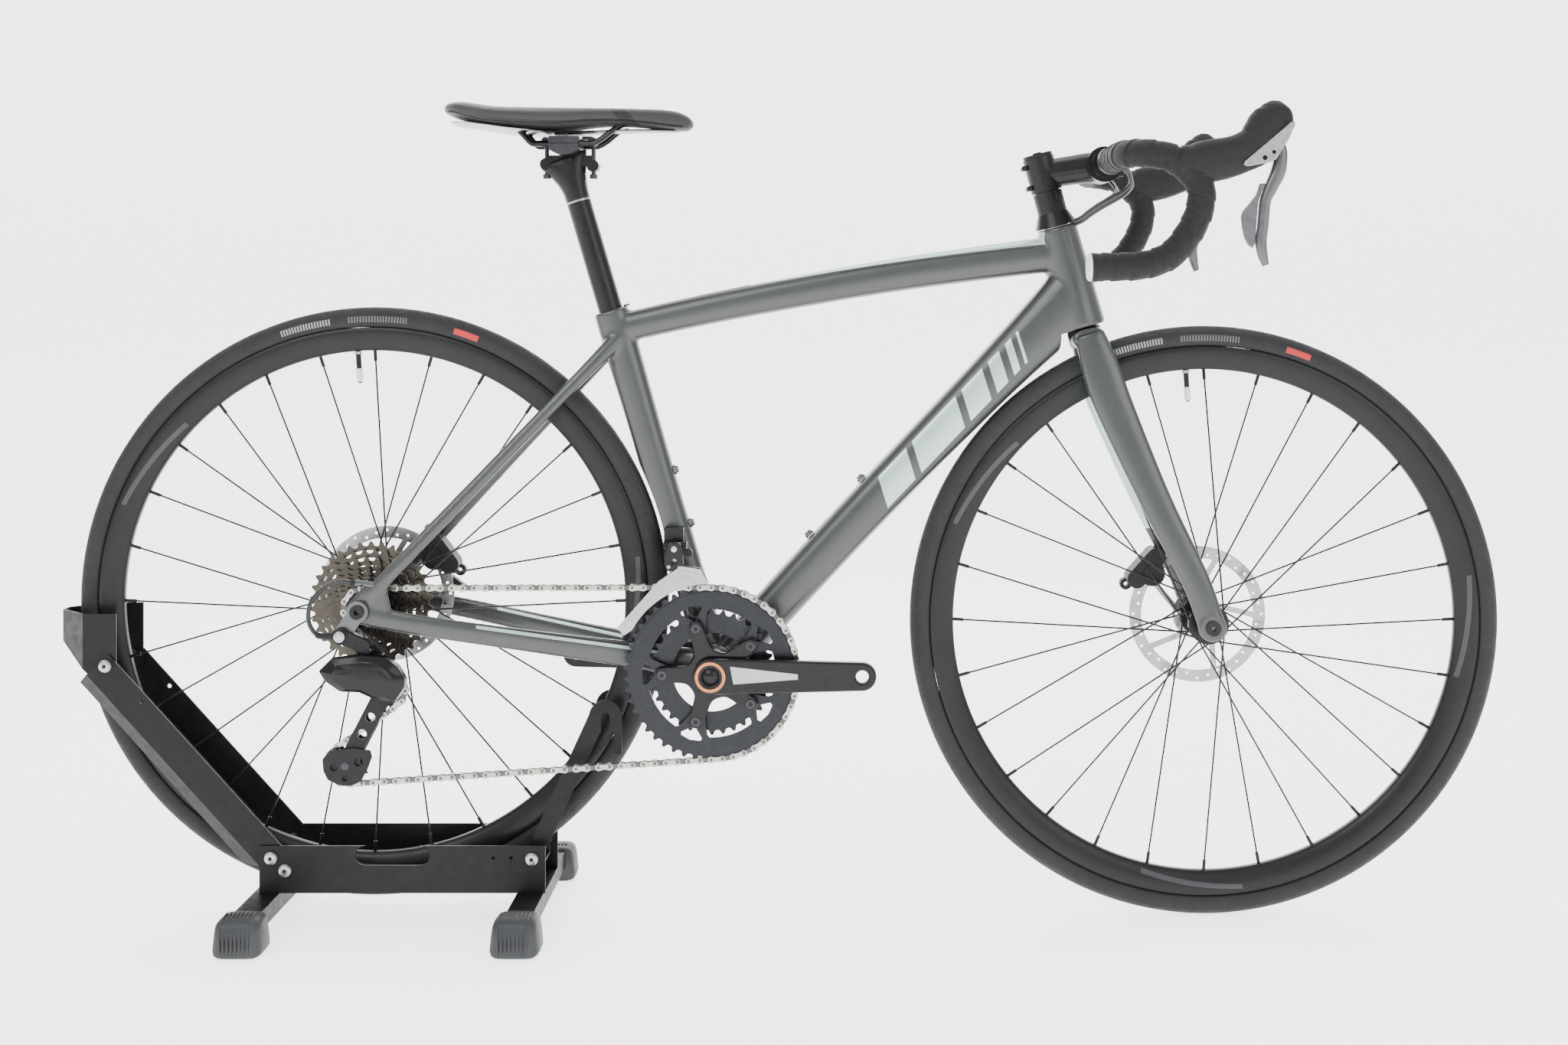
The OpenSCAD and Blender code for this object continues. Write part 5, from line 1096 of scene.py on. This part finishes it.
# front derailleur: pressed steps on the outer plate, and the black link above it
STEP = [(-15, 114), (-34, 117), (-56, 100.5), (-96, 57), (-99, 49.5), (-92, 54), (-58, 90), (-35, 105), (-14, 104)]
FACE = [(-20, 109.5), (-34, 112), (-50, 99), (-46, 98.5), (-34, 107.5), (-20, 106)]
LINK = [(-50, 116), (-34, 116), (-31, 122), (-33, 140), (-36, 148), (-47, 149), (-51, 143), (-53, 124)]
steps = [extrude("fd_step", around(BB, STEP), -0.0625, -0.0614, M["silver"], bevel=0.0003),
         extrude("fd_step", around(BB, FACE), -0.0630, -0.0623, M["hatch"], bevel=0.0003)]
link = extrude("fd_link", around(BB, LINK), -0.0600, -0.0515, M["gloss"],
               [circle(BB.x - 0.042, BB.z + 0.127, 0.0028, 20)], bevel=0.0012)
bolts = [dome("fd_bolt", BB + mm(u, -59.8, v), NEAR, r / 1000, 0.0018, M["bolt"], 24) for u, v, r in
         ((-42, 141, 3.6), (-48, 121, 2.2), (-36, 120, 2.2))]
piece(join("fd_cage_steps", [*steps, link, *bolts]), "fd_cage", "alloy_silver")
head = dome("hanger_cap", V(-17.4, -92, 335.7), NEAR, 0.0064, 0.0022, M["silver"], 32)
piece(head, "frame", "alloy_silver")


# ---- saddle and seatpost
# stations of the cushion from tail to nose: place, half width over PAD_WIDTH, depth of its top, height in millimetres
PAD = [(0, 0.10, 7, 3), (0.012, 0.22, 4, 9), (0.035, 0.33, 1.2, 15), (0.075, 0.42, 0.1, 19), (0.13, 0.47, 2, 22),
       (0.21, 0.49, 5.2, 24), (0.30, 0.475, 6, 25.5), (0.40, 0.42, 6.2, 26), (0.5, 0.33, 6.1, 24),
       (0.6, 0.255, 6, 20.5), (0.7, 0.205, 6, 19.5), (0.8, 0.17, 6.3, 21), (0.875, 0.15, 7, 23),
       (0.93, 0.135, 9, 22.5), (0.965, 0.12, 13, 18.5), (0.988, 0.09, 18, 13), (0.999, 0.04, 24, 4)]
TAIL_X, PAD_LENGTH, PAD_TOP, PAD_WIDTH = 83.5, 284, 935.9, 0.146
rings = loft_rows([(V(TAIL_X + PAD_LENGTH * t, 0, PAD_TOP - top - h / 2), w * PAD_WIDTH, h / 2000)
                   for t, w, top, h in PAD], m=6, n=56, q=0.74)
for ring in rings:
    t = (ring[0].x - OX) * 1000 - TAIL_X
    deep = 0.0026 * ease((t - 60) / 50) * ease((235 - t) / 50)
    for p in ring:
        if p.z > ring[0].z:
            p.z -= deep * exp(-(p.y / 0.008) ** 2)
            p.z += 0.0008 * sin(min(1.0, abs(p.y) / 0.05) * pi)
pad = mesh_object("saddle_cushion", *skin(rings), M["saddle"])
modify(pad, "SUBSURF", levels=1, render_levels=1)
apply_all(pad)
piece(pad, "saddle", "saddle_cover", "saddle_pad")
seams = [tube("seam", [V(TAIL_X + PAD_LENGTH * t, 0, PAD_TOP - top - h * 0.80)
                       + Vector((0, s * w * PAD_WIDTH * 0.985, 0)) for t, w, top, h in PAD[2:-2]], 0.0009,
              M["matte"], n=8) for s in (-1, 1)]
piece(join("saddle_seam", seams), "saddle", "saddle_shell")
post = [(0.560, 0, 14.05, 14.05), (0.572, 0, 14.8, 14.4), (0.584, -0.5, 17.5, 14.6), (0.596, -1.5, 22, 14.2),
        (0.606, -2.5, 27, 13), (0.611, -3, 28.5, 11)]
neck = loft("post_neck", [(seat(s, f / 1000), d / 1000, w / 1000) for s, f, w, d in post], M["black"], m=5, n=40,
            q=0.9)
piece(neck, "seatpost", "alloy_black")
ring = tube("post_seam", [seat(0.5575), seat(0.5585), seat(0.5595)], 0.01435, M["silver"], n=40)
piece(ring, "seatpost", "alloy_black")


# ---- feet of the stand
def foot(cx, s):
    """A cap with a sloped outer end, and ribs that run up its face and over its top."""
    rows = [(117, 25.5, 19.5, 20.5), (121, 28, 20.4, 20.6), (140, 28.6, 20.6, 20.7), (150, 28, 20.2, 20.3),
            (155, 26, 17.6, 17.8), (157.5, 22, 13, 14)]
    rings = []
    for y, w, h, z in rows:
        ring = []
        for k in range(44):
            a = 2 * pi * k / 44
            u, v = swell(cos(a), 0.36), swell(sin(a), 0.36)
            lean = 1 - 0.17 * (v + 1) / 2
            ring.append(V(cx + u * w * lean, s * y, max(z + v * h, 0.0)))
        rings.append(ring)
    out = [mesh_object("foot", *skin(rings), M["foot"])]
    for k in range(8):
        x = cx - 17 + 4.4 * k
        path = [V(x, s * y, z) for y, z in ((156.6, 5), (158.2, 12), (158.0, 22), (155.4, 32), (150, 38.6),
                                            (142, 41.0), (130, 41.4))]
        out.append(loft("rib", [(p, 0.0012, 0.0013) for p in path], M["foot"], m=3, n=8, ref=(1, 0, 0)))
    return out


feet = [o for cx in (-112, 187) for s in (-1, 1) for o in foot(cx, s)]
piece(join("ribbed_feet", feet), "stand", "foot_plastic", "stand_feet")
BOLTS = [(s, x, y, z) for s in (-1, 1)
         for x, y, z in ((189, 49.2, 76.5), (-106.5, 49.2, 77.5), (-90.3, 49.2, 63.5), (-295, 47.2, 294.6))]
heads = [dome("bolt_head", V(x, s * y, z), Vector((0, s, 0)), 0.0068, 0.0030, M["bolt"], 28) for s, x, y, z in BOLTS]
piece(join("bolt_heads", heads), "stand", "bolt_steel")
# hex sockets as matte black six-sided caps on the steel heads: painted shade where the recesses are
socket_shades = [dome("hex_socket_shade", V(x, s * (y + 2.6), z), Vector((0, s, 0)), 0.0026, 0.0007, M["matte"], 6)
           for s, x, y, z in BOLTS]
piece(join("bolt_socket_shades", socket_shades), "stand", "stand_steel")


# ---- camera, floor and light
scene = bpy.context.scene
world = bpy.data.worlds.new("studio")
world.use_nodes = True
world.node_tree.nodes["Background"].inputs[0].default_value = (0.97, 0.98, 1.0, 1)
world.node_tree.nodes["Background"].inputs[1].default_value = 1.2
scene.world = world
floor_mat = simple("studio_floor", (0.86, 0.86, 0.86), 0.8, 0, 3, 0.01)
glow = floor_mat.node_tree.nodes["Principled BSDF"]
glow.inputs["Emission Color"].default_value = (1, 1, 1, 1)
glow.inputs["Emission Strength"].default_value = 2.2
# floor, a curve up, and a wall behind, as (y, z)
profile = [(-12.0, 0.0), (7.0, 0.0)] + [(7.0 + 2.5 * sin(a), 2.5 - 2.5 * cos(a)) for a in
                                        (radians(7.5 * k) for k in range(1, 13))] + [(9.5, 12.0)]
floor = mesh_object("studio_floor", [(x, y, z - 0.0005) for y, z in profile for x in (-14, 14)],
                    [(2 * k, 2 * k + 1, 2 * k + 3, 2 * k + 2) for k in range(len(profile) - 1)], floor_mat)


def area(name, at, target, size, power, tint=(1, 1, 1)):
    light = bpy.data.lights.new(name, "AREA")
    light.shape = "RECTANGLE"
    light.size, light.size_y = size
    light.energy = power
    light.color = tint
    obj = linked(name, light)
    obj.location = at
    obj.rotation_euler = (Vector(target) - Vector(at)).to_track_quat("-Z", "Y").to_euler()


area("key", (-1.6, -2.6, 2.7), (0, 0, 0.45), (2.4, 1.6), 70)
area("fill", (2.2, -2.4, 1.6), (0.1, 0, 0.5), (2.0, 1.6), 34)
area("top", (0.2, 0.5, 3.2), (0, 0, 0.4), (3.0, 1.2), 55)
area("back", (0.0, 2.6, 1.7), (0, 0, 0.5), (3.0, 1.2), 28)

camera_data = bpy.data.cameras.new("camera")
camera = linked("camera", camera_data)
# level view, square to the bicycle
DISTANCE, PX_PER_MM, SENSOR_MM = 2.2, 1.1282, 36
WIDTH_PX, HEIGHT_PX = 2048, 1365
# where the camera's axis meets the picture
VIEW_U, VIEW_V = 1110.0, 390.0
camera.location = (OX + 0.5491, -DISTANCE, 0.7112)
camera.rotation_euler = (pi / 2, 0, 0)
camera_data.sensor_width = SENSOR_MM
camera_data.lens = PX_PER_MM * DISTANCE * 1000 / WIDTH_PX * SENSOR_MM
camera_data.shift_x = (WIDTH_PX / 2 - VIEW_U) / WIDTH_PX
camera_data.shift_y = (VIEW_V - HEIGHT_PX / 2) / WIDTH_PX
camera_data.clip_start = 0.05
scene.camera = camera
